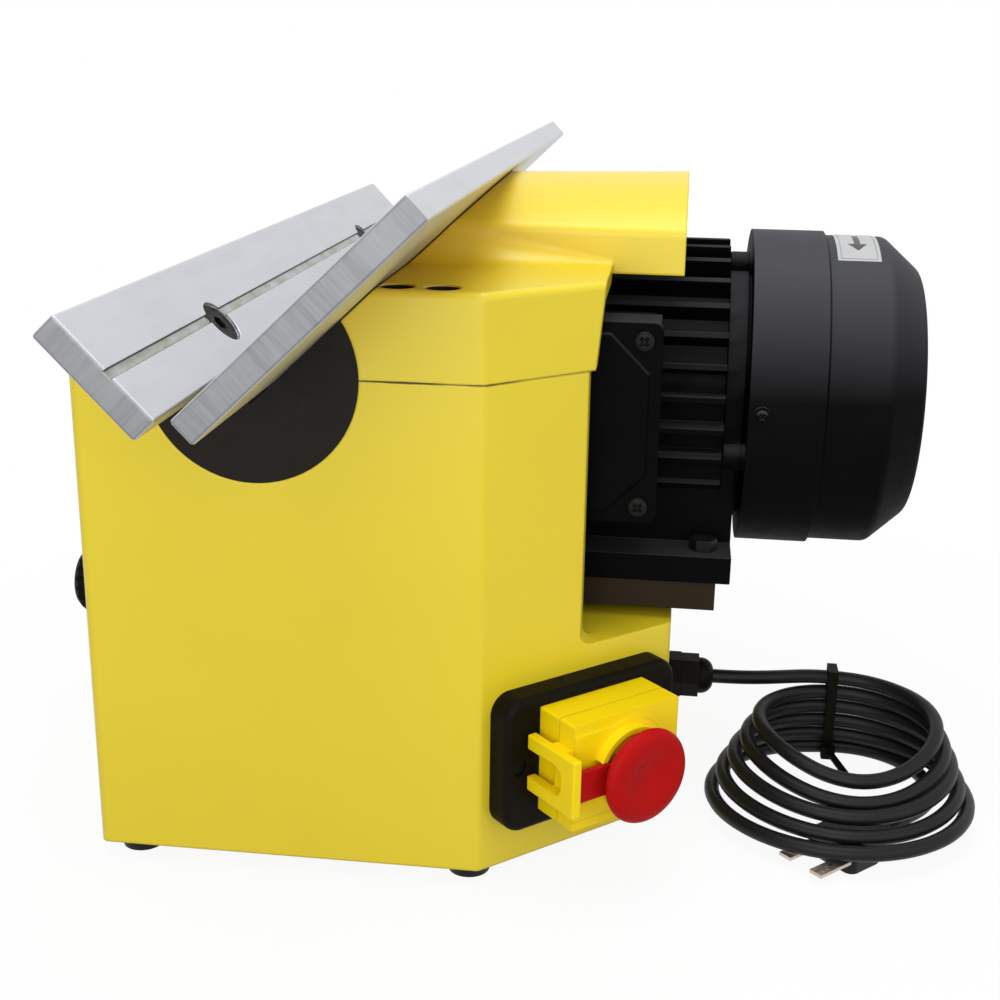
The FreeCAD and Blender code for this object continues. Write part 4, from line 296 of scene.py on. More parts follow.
def guide_steel(name, color, turn, groove=None):
    """Guide plate: ground faces, milled ends lined across the thickness and painted darker as shade, nicked
    edges and a groove with a stained floor and walls painted dark as shade.

    The finish is laid out in the plate's own axes: X across it, Y along it and Z through it. The groove is
    its (X, Z) place in those axes.
    """
    finish = Finish(name, color, 0.36, 1.0)
    finish.turn_about_y(turn)
    grain = finish.noise(1500.0, 4.0, 0.6, ALONG_PLATE)
    streaked = finish.blend(finish.marks(160.0, 4.0, 0.6, STREAKED), shade(color, 0.96), shade(color, 1.02))
    face = finish.blend(finish.marks(40.0, 5.0, 0.6, high=0.5), streaked, shade(color, 1.05))
    cuts = finish.noise(900.0, 5.0, 0.6, THROUGH_PLATE)
    wear = finish.spread(finish.noise(90.0, 3.0, 0.5, WORN), *CLOUD_RANGE, 0.0, 1.0)
    # Painted shade: the ends get a much darker steel colour than the faces, over real milling lines
    lined = finish.blend(finish.spread(cuts, *MARK_RANGE, 0.0, 1.0), shade(color, 0.34), shade(color, 0.43))
    end = finish.blend(finish.product(wear, wear), lined, shade(color, 0.46))
    ends = finish.spread(finish.facing("Y"), 0.6, 0.8, 0.0, 1.0)
    metal = finish.blend(ends, face, end)
    if groove is not None:
        across, through = groove
        near = finish.math("LESS_THAN", finish.distance_from("X", across), GROOVE_HALF)
        deep = finish.math("LESS_THAN", finish.distance_from("Z", through), GROOVE_HALF)
        # Mask of the groove: real stains on its floor and painted shade on its walls
        groove_stain_and_shade = finish.product(near, deep)
        dirt = finish.marks(110.0, 5.0, 0.65, ALONG_GROOVE)
        inside = finish.blend(dirt, GROOVE_FLOOR, shade(color, 0.9))
        # Painted shade: the groove's walls are coloured dark
        inside = finish.blend(finish.facing("X"), inside, PAINTED_GROOVE_SHADE)
        metal = finish.blend(finish.product(groove_stain_and_shade, finish.math("SUBTRACT", 1.0, ends)), metal, inside)
    chips = finish.spread(finish.noise(300.0, 4.0, 0.7), 0.56, 0.64, 0.0, 1.0)
    nicks = finish.product(finish.near_edges(NICK_REACH), chips)
    finish.color(finish.blend(nicks, metal, shade(color, 0.16)))
    finish.rough(finish.spread(ends, 0.0, 1.0, 0.46, 0.54))
    finish.bumpy((grain, 0.06, 0.0002), (finish.product(ends, cuts), 0.15, 0.0003))
    return finish.material


OXIDE_ROUND = 0.0005
OXIDE_BROWN = (1.3, 1.2, 1.1)


def black_oxide(name, color, gloss):
    """Oiled black oxide on machined steel, with a brown cast where it is thin."""
    finish = Finish(name, color, 0.45)
    finish.soft_edges(OXIDE_ROUND)
    thin = finish.spread(finish.noise(55.0, 4.0), 0.35, 0.7, 0.0, 1.0)
    finish.color(finish.blend(thin, color, tinted(color, OXIDE_BROWN)))
    finish.rough(finish.clouds(300.0, 3.0, 0.40, 0.55))
    finish.bumpy((finish.noise(700.0, 3.0), 0.08, 0.0003))
    finish.put("Specular IOR Level", gloss)
    return finish.material


def bright_metal(name, color, roughness):
    """Plated or machined metal with fine turning marks."""
    finish = Finish(name, color, roughness, 1.0)
    finish.rough(finish.clouds(600.0, 3.0, roughness * 0.8, roughness * 1.3))
    finish.color(finish.blend(finish.clouds(120.0, 3.0), shade(color, 0.9), shade(color, 1.08)))
    finish.bumpy((finish.noise(1500.0, 2.0), 0.06, 0.0002))
    return finish.material


def moulding(name, color, roughness, grain, gloss, edge=0.0):
    """Moulded plastic or rubber with an even fine grain, and edges rounded where a radius is given."""
    finish = Finish(name, color, roughness)
    if edge:
        finish.soft_edges(edge)
    finish.rough(finish.clouds(220.0, 3.0, roughness * 0.9, roughness * 1.1))
    finish.color(finish.blend(finish.clouds(40.0, 2.0), shade(color, 0.97), shade(color, 1.03)))
    finish.bumpy((finish.noise(1300.0, 2.0), grain, 0.0001))
    finish.put("Specular IOR Level", gloss)
    return finish.material


def printed_label(name, color):
    """Printed film with a slightly uneven tone."""
    finish = Finish(name, color, 0.4)
    finish.rough(finish.clouds(200.0, 2.0, 0.35, 0.48))
    finish.color(finish.blend(finish.clouds(90.0, 3.0), shade(color, 0.95), shade(color, 1.03)))
    return finish.material


FINISHES = {}

NODE_FINISH = {
    "base_casting": "casting_yellow",
    "upper_casting": "casting_yellow",
    "clamp_screws": "black_oxide",
    "rubber_feet": "rubber",
    "foot_screws": "zinc",
    "tilt_drum": "drum_oxide",
    "rear_guide_plate": "rear_plate",
    "front_guide_plate": "front_plate",
    "guide_plate_screws": "black_oxide",
    "motor_frame": "motor_black",
    "motor_front_shield": "motor_black",
    "motor_rear_shield": "motor_black",
    "front_bearing": "zinc",
    "rear_bearing": "zinc",
    "motor_tie_bolts": "black_oxide",
    "stator": "core_iron",
    "rotor_core": "core_iron",
    "motor_shaft": "shaft_steel",
    "cooling_fan": "black_plastic",
    "fan_cover": "cover_black",
    "fan_cover_screws": "cover_black",
    "terminal_box": "motor_black",
    "terminal_box_cover": "motor_black",
    "terminal_cover_screws": "black_oxide",
    "motor_foot_bolts": "black_oxide",
    "cutter_head": "black_oxide",
    "cutter_inserts": "carbide",
    "insert_screws": "zinc",
    "cutter_bolt": "black_oxide",
    "carriage_plate": "carriage_steel",
    "slide_gib": "brass",
    "gib_screws": "zinc",
    "lead_nut": "brass",
    "screw_bush": "brass",
    "lead_screw": "shaft_steel",
    "thrust_collar": "zinc",
    "feed_dial": "dial_metal",
    "feed_knob": "black_plastic",
    "switch_back_plate": "black_plastic",
    "switch_plate_screws": "black_oxide",
    "switch_housing": "switch_yellow",
    "lid_hinge_pin": "zinc",
    "switch_lid": "switch_yellow",
    "stop_mushroom": "stop_red",
    "start_button": "start_green",
    "stop_button": "stop_red",
    "gland_body": "black_plastic",
    "gland_dome_nut": "black_plastic",
    "gland_lock_nut": "black_plastic",
    "cord_lead": "rubber",
    "cord_coil": "rubber",
    "cord_tail": "rubber",
    "cable_tie": "black_plastic",
    "plug_body": "rubber",
    "plug_pins": "blade_metal",
}

# Widths in millimetres of the small rounds on the edges of plain blocks and plates
EDGE_ROUNDS = {
    "motor_frame": 0.5,
    "terminal_box": 0.7,
    "terminal_box_cover": 0.7,
    "rear_guide_plate": 0.4,
    "front_guide_plate": 0.4,
}


# Mesh helpers

SMOOTH_ANGLE = math.radians(40.0)
SEAM_WELD = 0.00002
FLAT_ANGLE = math.radians(0.5)
ROUND_ANGLE = math.radians(35.0)
ROUND_SEGMENTS = 3


def place_mesh(name, build, finish, body):
    """Makes a piece from a bmesh that build fills, gives it a finish and rides it on a body."""
    mesh = bpy.data.meshes.new(name)
    shape = bmesh.new()
    build(shape)
    bmesh.ops.recalc_face_normals(shape, faces=shape.faces)
    shape.to_mesh(mesh)
    shape.free()
    piece = bpy.data.objects.new(name, mesh)
    bpy.context.scene.collection.objects.link(piece)
    mesh.materials.append(FINISHES[finish])
    mesh.shade_smooth()
    mesh.set_sharp_from_angle(angle=SMOOTH_ANGLE)
    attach(piece, body)


def round_edges(piece, width):
    """Joins the faces that lie in one plane, then rounds the edges that are left between them."""
    weld = piece.modifiers.new("Join seams", "WELD")
    weld.merge_threshold = SEAM_WELD
    flats = piece.modifiers.new("Join flats", "DECIMATE")
    flats.decimate_type = "DISSOLVE"
    flats.angle_limit = FLAT_ANGLE
    bevel = piece.modifiers.new("Edge round", "BEVEL")
    bevel.limit_method = "ANGLE"
    bevel.angle_limit = ROUND_ANGLE
    bevel.width = width * MM
    bevel.segments = ROUND_SEGMENTS
    bevel.use_clamp_overlap = False
    bevel.harden_normals = True


# Cord route, in millimetres and degrees: the points and formula of the solids, with a slight sway and sag

CORD_DIAMETER = 6.8
COIL_TURNS = 5
COIL_STEPS = 16
COIL_TIE = Vector((316.0, 0.0, 5.0))
COIL_TOP_RADIUS = 38.0
COIL_BOTTOM_RADIUS = 60.0
COIL_TOP_BEARING = -84.0
COIL_BOTTOM_BEARING = -90.0
COIL_PITCH = 7.35
COIL_DIP = 3.5
COIL_BUMP = 4.0
COIL_RUN = 13.0
COIL_SWAY = 1.3
COIL_SWAY_RATE = 2.6 / math.pi
COIL_SAG = 1.0
COIL_SAG_RATE = 1.7 / math.pi
HEADING_STEP = 1e-4
LEAD_POINTS = ((252.5, -12.0, 43.6), (264.0, -12.0, 43.6), (275.8, -10.6, 43.4), (287.0, -7.3, 42.9))
TAIL_CORNERS = 8
TAIL_RUN = 11.3
TAIL_TURN = -17.0
PLUG_HEIGHT = 5.6


def coil_point(turn):
    """Middle of the cord after some turns, counted from the tie, which every turn passes through."""
    share = turn / COIL_TURNS
    radius = COIL_TOP_RADIUS + (COIL_BOTTOM_RADIUS - COIL_TOP_RADIUS) * share
    bearing = math.radians(COIL_TOP_BEARING + (COIL_BOTTOM_BEARING - COIL_TOP_BEARING) * share)
    angle = 2 * math.pi * turn
    away = math.sin(angle / 2) ** 2
    spoke = bearing + math.pi - angle
    sway = COIL_SWAY * away * math.sin(COIL_SWAY_RATE * angle)
    sag = COIL_SAG * away * math.sin(COIL_SAG_RATE * angle)
    height = (COIL_PITCH - COIL_DIP * away ** 4) * (COIL_TURNS - turn) + COIL_BUMP * away ** 2 + sag
    return COIL_TIE + Vector((radius * (math.cos(bearing) + math.cos(spoke)) + sway * math.cos(spoke),
                              radius * (math.sin(bearing) + math.sin(spoke)) + sway * math.sin(spoke),
                              height))


def coil_heading(turn):
    return (coil_point(turn + HEADING_STEP) - coil_point(turn - HEADING_STEP)).normalized()


def cord_route():
    """Lead from the gland, the coil's turns, and the tail round to the plug."""
    route = [Vector(point) for point in LEAD_POINTS]
    route.append(coil_point(0) - coil_heading(0) * COIL_RUN)
    route += [coil_point(i / COIL_STEPS) for i in range(COIL_TURNS * COIL_STEPS + 1)]
    start = coil_heading(COIL_TURNS)
    bearing = math.atan2(start.y, start.x)
    rise = (PLUG_HEIGHT - route[-1].z) / TAIL_CORNERS
    for i in range(TAIL_CORNERS + 1):
        angle = bearing + math.radians(i * TAIL_TURN)
        lift = rise if i < TAIL_CORNERS else 0.0
        route.append(route[-1] + Vector((TAIL_RUN * math.cos(angle), TAIL_RUN * math.sin(angle), lift)))
    return route


# Small fittings, in millimetres and degrees

MOTOR_AXIS_HEIGHT = 185.4
TERMINAL_SCREW_FACE = -95.0
TERMINAL_SCREWS = ((150.5, 152.9), (219.5, 152.9), (150.5, 221.9), (219.5, 221.9))
COVER_SCREW_PLACE = 269.0
COVER_SCREW_RADIUS = 72.2
COVER_SCREW_ANGLES = (2.0, 122.0, 242.0)
COVER_SCREW_HEAD_RADIUS = 2.6
SCREW_HEAD_RADIUS = 3.9
SCREW_HEAD_RISE = 1.3
SCREW_HEAD_STEPS = 20
CROSS_ARM_HALF = 0.15
CROSS_ARM_REACH = 0.55
CROSS_FLOOR = 0.08
SCREW_HEAD_RIM = 0.25
BORE_PLACES = (127.7, 144.8)
BORE_OFFSET = 134.8
BORE_RADIUS = 6.9
BORE_WALL = 0.3
BORE_SIDES = 40
BORE_FLOOR = 227.5
BORE_RIM = 246.4
DIAL_RADIUS = 22.0
DIAL_BACK = -4.6
DIAL_AXIS_HEIGHT = 70.4
DIAL_MARKS = 60
DIAL_LONG_EVERY = 5
DIAL_LONG_MARK = 7.0
DIAL_SHORT_MARK = 4.0
DIAL_MARK_HALF = 0.22
DIAL_MARK_SINK = 0.2
DIAL_MARK_RISE = 0.08
BOX_FACES = ((0, 1, 2, 3), (4, 7, 6, 5), (0, 4, 5, 1), (1, 5, 6, 2), (2, 6, 7, 3), (3, 7, 4, 0))
LABEL_RADIUS = 69.2
LABEL_SPAN = (299.0, 317.3)
LABEL_ANGLES = (-8.0, 25.6)
LABEL_SINK = 0.1
LABEL_THICKNESS = 0.25
LABEL_STRIPS = 16
LABEL_BORDER = 1.5
LABEL_LINE = 0.15
INK_RISE = 0.1
INK_THICKNESS = 0.12
ARROW_TAIL = -0.5
ARROW_WAIST = 12.2
ARROW_TIP = 18.1
ARROW_STEM_HALF = 1.3
ARROW_HEAD_HALF = 4.2
ARROW_TIP_HALF = 0.1


def cross_head(shape, centre, axis, radius):
    """Domed screw head with a cross recess, standing on centre and facing along axis."""
    side = axis.orthogonal().normalized()
    other = axis.cross(side)
    steps = SCREW_HEAD_STEPS
    grid = {}
    for i in range(steps + 1):
        for k in range(steps + 1):
            a = 2 * i / steps - 1
            b = 2 * k / steps - 1
            x = a * math.sqrt(1 - b * b / 2)
            y = b * math.sqrt(1 - a * a / 2)
            in_arm = min(abs(a), abs(b)) < CROSS_ARM_HALF and max(abs(a), abs(b)) < CROSS_ARM_REACH
            dome = math.sqrt(max(0.0, 1 - x * x - y * y))
            height = CROSS_FLOOR if in_arm else SCREW_HEAD_RIM + (1 - SCREW_HEAD_RIM) * dome
            spot = centre + (side * x + other * y) * radius * MM + axis * height * SCREW_HEAD_RISE * MM
            grid[i, k] = shape.verts.new(spot)
    for i in range(steps):
        for k in range(steps):
            shape.faces.new((grid[i, k], grid[i + 1, k], grid[i + 1, k + 1], grid[i, k + 1]))
    rim = [grid[i, 0] for i in range(steps)] + [grid[steps, k] for k in range(steps)]
    rim += [grid[i, steps] for i in range(steps, 0, -1)] + [grid[0, k] for k in range(steps, 0, -1)]
    foot = [shape.verts.new(corner.co - axis * (corner.co - centre).dot(axis)) for corner in rim]
    for i, corner in enumerate(rim):
        following = (i + 1) % len(rim)
        shape.faces.new((corner, rim[following], foot[following], foot[i]))
    shape.faces.new(foot)


def bore_lining(shape, place, aside):
    """Upright tube, open at both ends, that lines a clamp screw's bore in near black as painted shade."""
    inner = BORE_RADIUS - BORE_WALL
    section = ((BORE_RADIUS, BORE_FLOOR), (BORE_RADIUS, BORE_RIM), (inner, BORE_RIM), (inner, BORE_FLOOR))
    rings = []
    for radius, height in section:
        ring = []
        for i in range(BORE_SIDES):
            angle = 2 * math.pi * i / BORE_SIDES
            spot = at(place + radius * math.cos(angle), aside + radius * math.sin(angle), height)
            ring.append(shape.verts.new(spot))
        rings.append(ring)
    for first, second in zip(rings, rings[1:] + rings[:1]):
        for i in range(BORE_SIDES):
            following = (i + 1) % BORE_SIDES
            shape.faces.new((first[i], first[following], second[following], second[i]))


def wrapped(shape, outline, radius, thickness):
    """Film of the given (place along the motor, angle from the top) outline laid round the fan cover."""
    layers = []
    for reach in (radius, radius + thickness):
        layers.append([shape.verts.new(at(place, -reach * math.sin(math.radians(angle)),
                                          MOTOR_AXIS_HEIGHT + reach * math.cos(math.radians(angle))))
                       for place, angle in outline])
    bottom, top = layers
    shape.faces.new(top)
    shape.faces.new(bottom[::-1])
    for i in range(len(outline)):
        following = (i + 1) % len(outline)
        shape.faces.new((bottom[i], bottom[following], top[following], top[i]))


def wrapped_strips(shape, span, angles, radius, thickness, end_span=None):
    """Rectangle of film, or a taper from span to end_span, cut into strips so that it follows the curve."""
    start = Vector((*span, angles[0]))
    end = Vector((*(end_span or span), angles[1]))
    for i in range(LABEL_STRIPS):
        near = start.lerp(end, i / LABEL_STRIPS)
        far = start.lerp(end, (i + 1) / LABEL_STRIPS)
        outline = ((near.x, near.z), (near.y, near.z), (far.y, far.z), (far.x, far.z))
        wrapped(shape, outline, radius, thickness)


def ink(shape, span, angles, end_span=None):
    """Print on the label."""
    wrapped_strips(shape, span, angles, LABEL_RADIUS + INK_RISE, INK_THICKNESS, end_span)


# Stage values, in metres

FLOOR_SIZE = 6.0
FLOOR_COLOR = (0.95, 0.95, 0.95)
FLOOR_GLOW = 0.92
FLOOR_BOUNCE = (0.4, 0.4, 0.4)
FLOOR_MIDDLE = at(190, 0, 0)
FLOOR_SHADOW_REACH = 0.22
WHITE = (1.0, 1.0, 1.0, 1.0)
LAMP_TARGET = at(140, 0, 150)
# Each lamp's name, the setting that holds its power, its place and its size
LAMPS = (
    ("key", "key", at(170, -330, 1150), 0.7),
    ("top", "top", at(190, 90, 1150), 0.4),
    ("front fill", "fill", at(60, -1250, 420), 0.9),
    ("right fill", "side", at(1000, -700, 450), 0.8),
)
SENSOR_WIDTH = 36.0
CAMERA_NEAR = 0.01
CAMERA_FAR = 50.0


def seeing_rays(tree):
    """1 for the rays that show the surroundings: to the camera, in a reflection or through glass."""
    rays = tree.nodes.new("ShaderNodeLightPath")
    total = rays.outputs["Is Camera Ray"]
    for name in ("Is Glossy Ray", "Is Transmission Ray"):
        add = tree.nodes.new("ShaderNodeMath")
        add.operation = "ADD"
        add.use_clamp = True
        tree.links.new(total, add.inputs[0])
        tree.links.new(rays.outputs[name], add.inputs[1])
        total = add.outputs["Value"]
    return total


# Settings

class MachineSettings(bpy.types.PropertyGroup):
    """Colours and sizes that a user would change."""

    casting_color: FloatVectorProperty(
        name="Casting paint", description="Colour of the castings",
        subtype="COLOR", size=3, min=0.0, max=1.0, default=(0.79, 0.615, 0.020))
    switch_color: FloatVectorProperty(
        name="Switch plastic", description="Colour of the switch box and lid",
        subtype="COLOR", size=3, min=0.0, max=1.0, default=(0.95, 0.70, 0.002))
    stop_color: FloatVectorProperty(
        name="Stop button", description="Colour of the mushroom and stop button",
        subtype="COLOR", size=3, min=0.0, max=1.0, default=(0.44, 0.006, 0.006))
    motor_color: FloatVectorProperty(
        name="Motor paint", description="Colour of the motor",
        subtype="COLOR", size=3, min=0.0, max=1.0, default=(0.007, 0.007, 0.008))
    cord_diameter: FloatProperty(
        name="Cord diameter", description="Outer diameter of the mains cord",
        unit="LENGTH", default=CORD_DIAMETER * MM)


class StageSettings(bpy.types.PropertyGroup):
    """Floor, light and camera."""

    sky: FloatProperty(
        name="Sky", description="Strength of the even light from all sides", min=0.0, default=0.5)
    key: FloatProperty(
        name="Key", description="Power of the lamp above the front", unit="POWER", min=0.0, default=4.2)
    top: FloatProperty(
        name="Top", description="Power of the lamp straight above", unit="POWER", min=0.0, default=1.7)
    fill: FloatProperty(
        name="Fill", description="Power of the lamp in front", unit="POWER", min=0.0, default=6.3)
    side: FloatProperty(
        name="Side", description="Power of the lamp at the right", unit="POWER", min=0.0, default=2.0)
    lens: FloatProperty(
        name="Lens", description="Focal length of the camera in millimetres", default=52.226)
    yaw: FloatProperty(
        name="Yaw", description="Turn of the camera to the left",
        subtype="ANGLE", default=math.radians(6.85))
    pitch: FloatProperty(
        name="Pitch", description="Tilt of the camera downwards",
        subtype="ANGLE", default=math.radians(17.24))
    roll: FloatProperty(
        name="Roll", description="Roll of the camera",
        subtype="ANGLE", default=math.radians(0.92))
    eye: FloatVectorProperty(
        name="Eye", description="Place of the camera",
        subtype="XYZ", unit="LENGTH", size=3, default=at(231.36, -666.40, 331.71))


# Operators

class MACHINE_OT_finishes(bpy.types.Operator):
    """Make every finish and put it on the machine's own parts"""

    bl_idname = "machine.finishes"
    bl_label = "Finishes"

    def execute(self, context):
        settings = context.scene.machine_settings
        FINISHES.update({
            "casting_yellow": casting_paint("casting yellow paint", tuple(settings.casting_color)),
            # painted_top_light is the painted highlight colour on upward faces
            "motor_black": motor_paint("motor black paint", shade(settings.motor_color, 0.25),
                                       painted_top_light=(0.030, 0.030, 0.033), gloss=0.03),
            "cover_black": motor_paint("fan cover black paint", shade(settings.motor_color, 0.35),
                                       painted_top_light=(0.064, 0.065, 0.072), gloss=0.03),
            "rear_plate": guide_steel("rear guide plate steel", PLATE_STEEL, REAR_PLATE_TURN),
            "front_plate": guide_steel("front guide plate steel", PLATE_STEEL, FRONT_PLATE_TURN,
                                       groove=PLATE_GROOVE),
            # Painted shade: the shaft steel is given a dark colour for the shaft end in the fan cover's
            # shade; the lead screw shares it
            "shaft_steel": ground_steel("ground shaft steel", (0.2, 0.2, 0.205), along="X"),
            "black_oxide": black_oxide("black oxide", (0.006, 0.0058, 0.0055), gloss=0.12),
            "drum_oxide": black_oxide("drum black oxide", (0.012, 0.0098, 0.008), gloss=0.10),
            "carriage_steel": black_oxide("slide black oxide", (0.021, 0.0145, 0.0085), gloss=0.08),
            "zinc": bright_metal("zinc plate", (0.55, 0.55, 0.56), roughness=0.35),
            "dial_metal": bright_metal("turned dial", (0.68, 0.68, 0.69), roughness=0.3),
            "blade_metal": bright_metal("plug blades", (0.64, 0.54, 0.47), roughness=0.42),
            "carbide": bright_metal("coated carbide", (0.42, 0.38, 0.24), roughness=0.3),
            "brass": bright_metal("machined brass", (0.62, 0.48, 0.2), roughness=0.3),
            "core_iron": black_oxide("core laminations", (0.1, 0.09, 0.08), gloss=0.3),
            # Painted shade: a near-black finish for the linings of the clamp bores
            "painted_bore_shade": black_oxide("bare cast iron", (0.016, 0.012, 0.006), gloss=0.05),
            "black_plastic": moulding("black plastic", (0.006, 0.0044, 0.0026),
                                      roughness=0.5, grain=0.10, gloss=0.06, edge=0.0006),
            "rubber": moulding("black rubber", (0.006, 0.006, 0.007),
                               roughness=0.42, grain=0.08, gloss=0.2, edge=0.0008),
            "switch_yellow": moulding("switch yellow plastic", tuple(settings.switch_color),
                                      roughness=0.40, grain=0.02, gloss=0.25, edge=0.0009),
            "stop_red": moulding("stop red plastic", tuple(settings.stop_color),
                                 roughness=0.45, grain=0.02, gloss=0.06, edge=0.0008),
            "start_green": moulding("start green plastic", (0.02, 0.28, 0.05),
                                    roughness=0.36, grain=0.02, gloss=0.5),
            "label_white": printed_label("label white", (0.46, 0.47, 0.475)),
            "label_ink": printed_label("label ink", (0.03, 0.03, 0.03)),
        })
        for node, piece in NODES.items():
            piece.data.materials.clear()
            piece.data.materials.append(FINISHES[NODE_FINISH[node]])
        for node, width in EDGE_ROUNDS.items():
            round_edges(NODES[node], width)
        return {"FINISHED"}


class MACHINE_OT_cord(bpy.types.Operator):
    """Lay the mains cord from the gland through its coil to the plug"""

    bl_idname = "machine.cord"
    bl_label = "Cord"

    def execute(self, context):
        route = cord_route()
        curve = bpy.data.curves.new("mains_cord", "CURVE")
        curve.dimensions = "3D"
        curve.resolution_u = 6
        curve.bevel_depth = context.scene.machine_settings.cord_diameter / 2
        curve.bevel_resolution = 5
        curve.use_fill_caps = True
        spline = curve.splines.new("NURBS")
        spline.points.add(len(route) - 1)
        for point, spot in zip(spline.points, route):
            point.co = (*at(*spot), 1.0)
        spline.order_u = 3
        spline.use_endpoint_u = True
        cord = bpy.data.objects.new("mains_cord", curve)
        context.scene.collection.objects.link(cord)
        curve.materials.append(FINISHES["rubber"])
        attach(cord, "body")
        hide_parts("cord_lead", "cord_coil", "cord_tail")
        return {"FINISHED"}


class MACHINE_OT_fittings(bpy.types.Operator):
    """Add the recessed screw heads, the dark linings painted as shade in the clamp bores and the marks on the
    feed dial
    """

    bl_idname = "machine.fittings"
    bl_label = "Fittings"

    def execute(self, context):
        place_mesh("terminal_screw_heads", self.terminal_heads, "black_oxide", "carriage")
        place_mesh("cover_screw_heads", self.cover_heads, "cover_black", "carriage")
        place_mesh("clamp_bore_linings", self.bore_linings, "painted_bore_shade", "body")
        place_mesh("dial_marks", self.dial_marks, "label_ink", "feed")
        return {"FINISHED"}

    def terminal_heads(self, shape):
        for place, height in TERMINAL_SCREWS:
            foot = at(place, TERMINAL_SCREW_FACE, height)
            cross_head(shape, foot, Vector((0.0, -1.0, 0.0)), SCREW_HEAD_RADIUS)

    def cover_heads(self, shape):
        for degrees in COVER_SCREW_ANGLES:
            angle = math.radians(degrees)
            axis = Vector((0.0, -math.cos(angle), math.sin(angle)))
            foot = at(COVER_SCREW_PLACE, 0.0, MOTOR_AXIS_HEIGHT) + axis * COVER_SCREW_RADIUS * MM
            cross_head(shape, foot, axis, COVER_SCREW_HEAD_RADIUS)

    def bore_linings(self, shape):
        for place in BORE_PLACES:
            for aside in (-BORE_OFFSET, BORE_OFFSET):
                bore_lining(shape, place, aside)

    def dial_marks(self, shape):
        half = DIAL_MARK_HALF
        foot = at(DIAL_BACK, 0.0, DIAL_AXIS_HEIGHT)
        for i in range(DIAL_MARKS):
            angle = 2 * math.pi * i / DIAL_MARKS
            length = DIAL_SHORT_MARK if i % DIAL_LONG_EVERY else DIAL_LONG_MARK
            out = Vector((0.0, math.sin(angle), math.cos(angle)))
            aside = Vector((0.0, math.cos(angle), -math.sin(angle)))
            corners = []
            for reach in (DIAL_RADIUS - DIAL_MARK_SINK, DIAL_RADIUS + DIAL_MARK_RISE):
                for across, back in ((-half, 0.0), (half, 0.0), (half, length), (-half, length)):
                    spot = foot + out * reach * MM + aside * across * MM - Vector((back * MM, 0.0, 0.0))
                    corners.append(shape.verts.new(spot))
            for face in BOX_FACES:
                shape.faces.new([corners[k] for k in face])


class MACHINE_OT_label(bpy.types.Operator):
    """Stick the turning-direction label on the fan cover"""

    bl_idname = "machine.label"
    bl_label = "Direction label"

    def execute(self, context):
        place_mesh("direction_label", self.film, "label_white", "carriage")
        place_mesh("direction_arrow", self.printing, "label_ink", "carriage")
        return {"FINISHED"}

    def film(self, shape):
        wrapped_strips(shape, LABEL_SPAN, LABEL_ANGLES, LABEL_RADIUS - LABEL_SINK, LABEL_THICKNESS)

    def printing(self, shape):
        first, last = LABEL_SPAN
        low, high = LABEL_ANGLES
        turn = math.degrees(1 / LABEL_RADIUS)
        left = first + LABEL_BORDER
        right = last - LABEL_BORDER
        top = low + LABEL_BORDER * turn
        foot = high - LABEL_BORDER * turn
        ink(shape, (left, right), (top, top + LABEL_LINE * turn))
        ink(shape, (left, right), (foot - LABEL_LINE * turn, foot))
        ink(shape, (left, left + LABEL_LINE), (top, foot))
        ink(shape, (right - LABEL_LINE, right), (top, foot))
        middle = (left + right) / 2
        stem, head, tip = ((middle - half, middle + half)
                           for half in (ARROW_STEM_HALF, ARROW_HEAD_HALF, ARROW_TIP_HALF))
        ink(shape, stem, (ARROW_TAIL, ARROW_WAIST))
        ink(shape, head, (ARROW_WAIST, ARROW_TIP), end_span=tip)


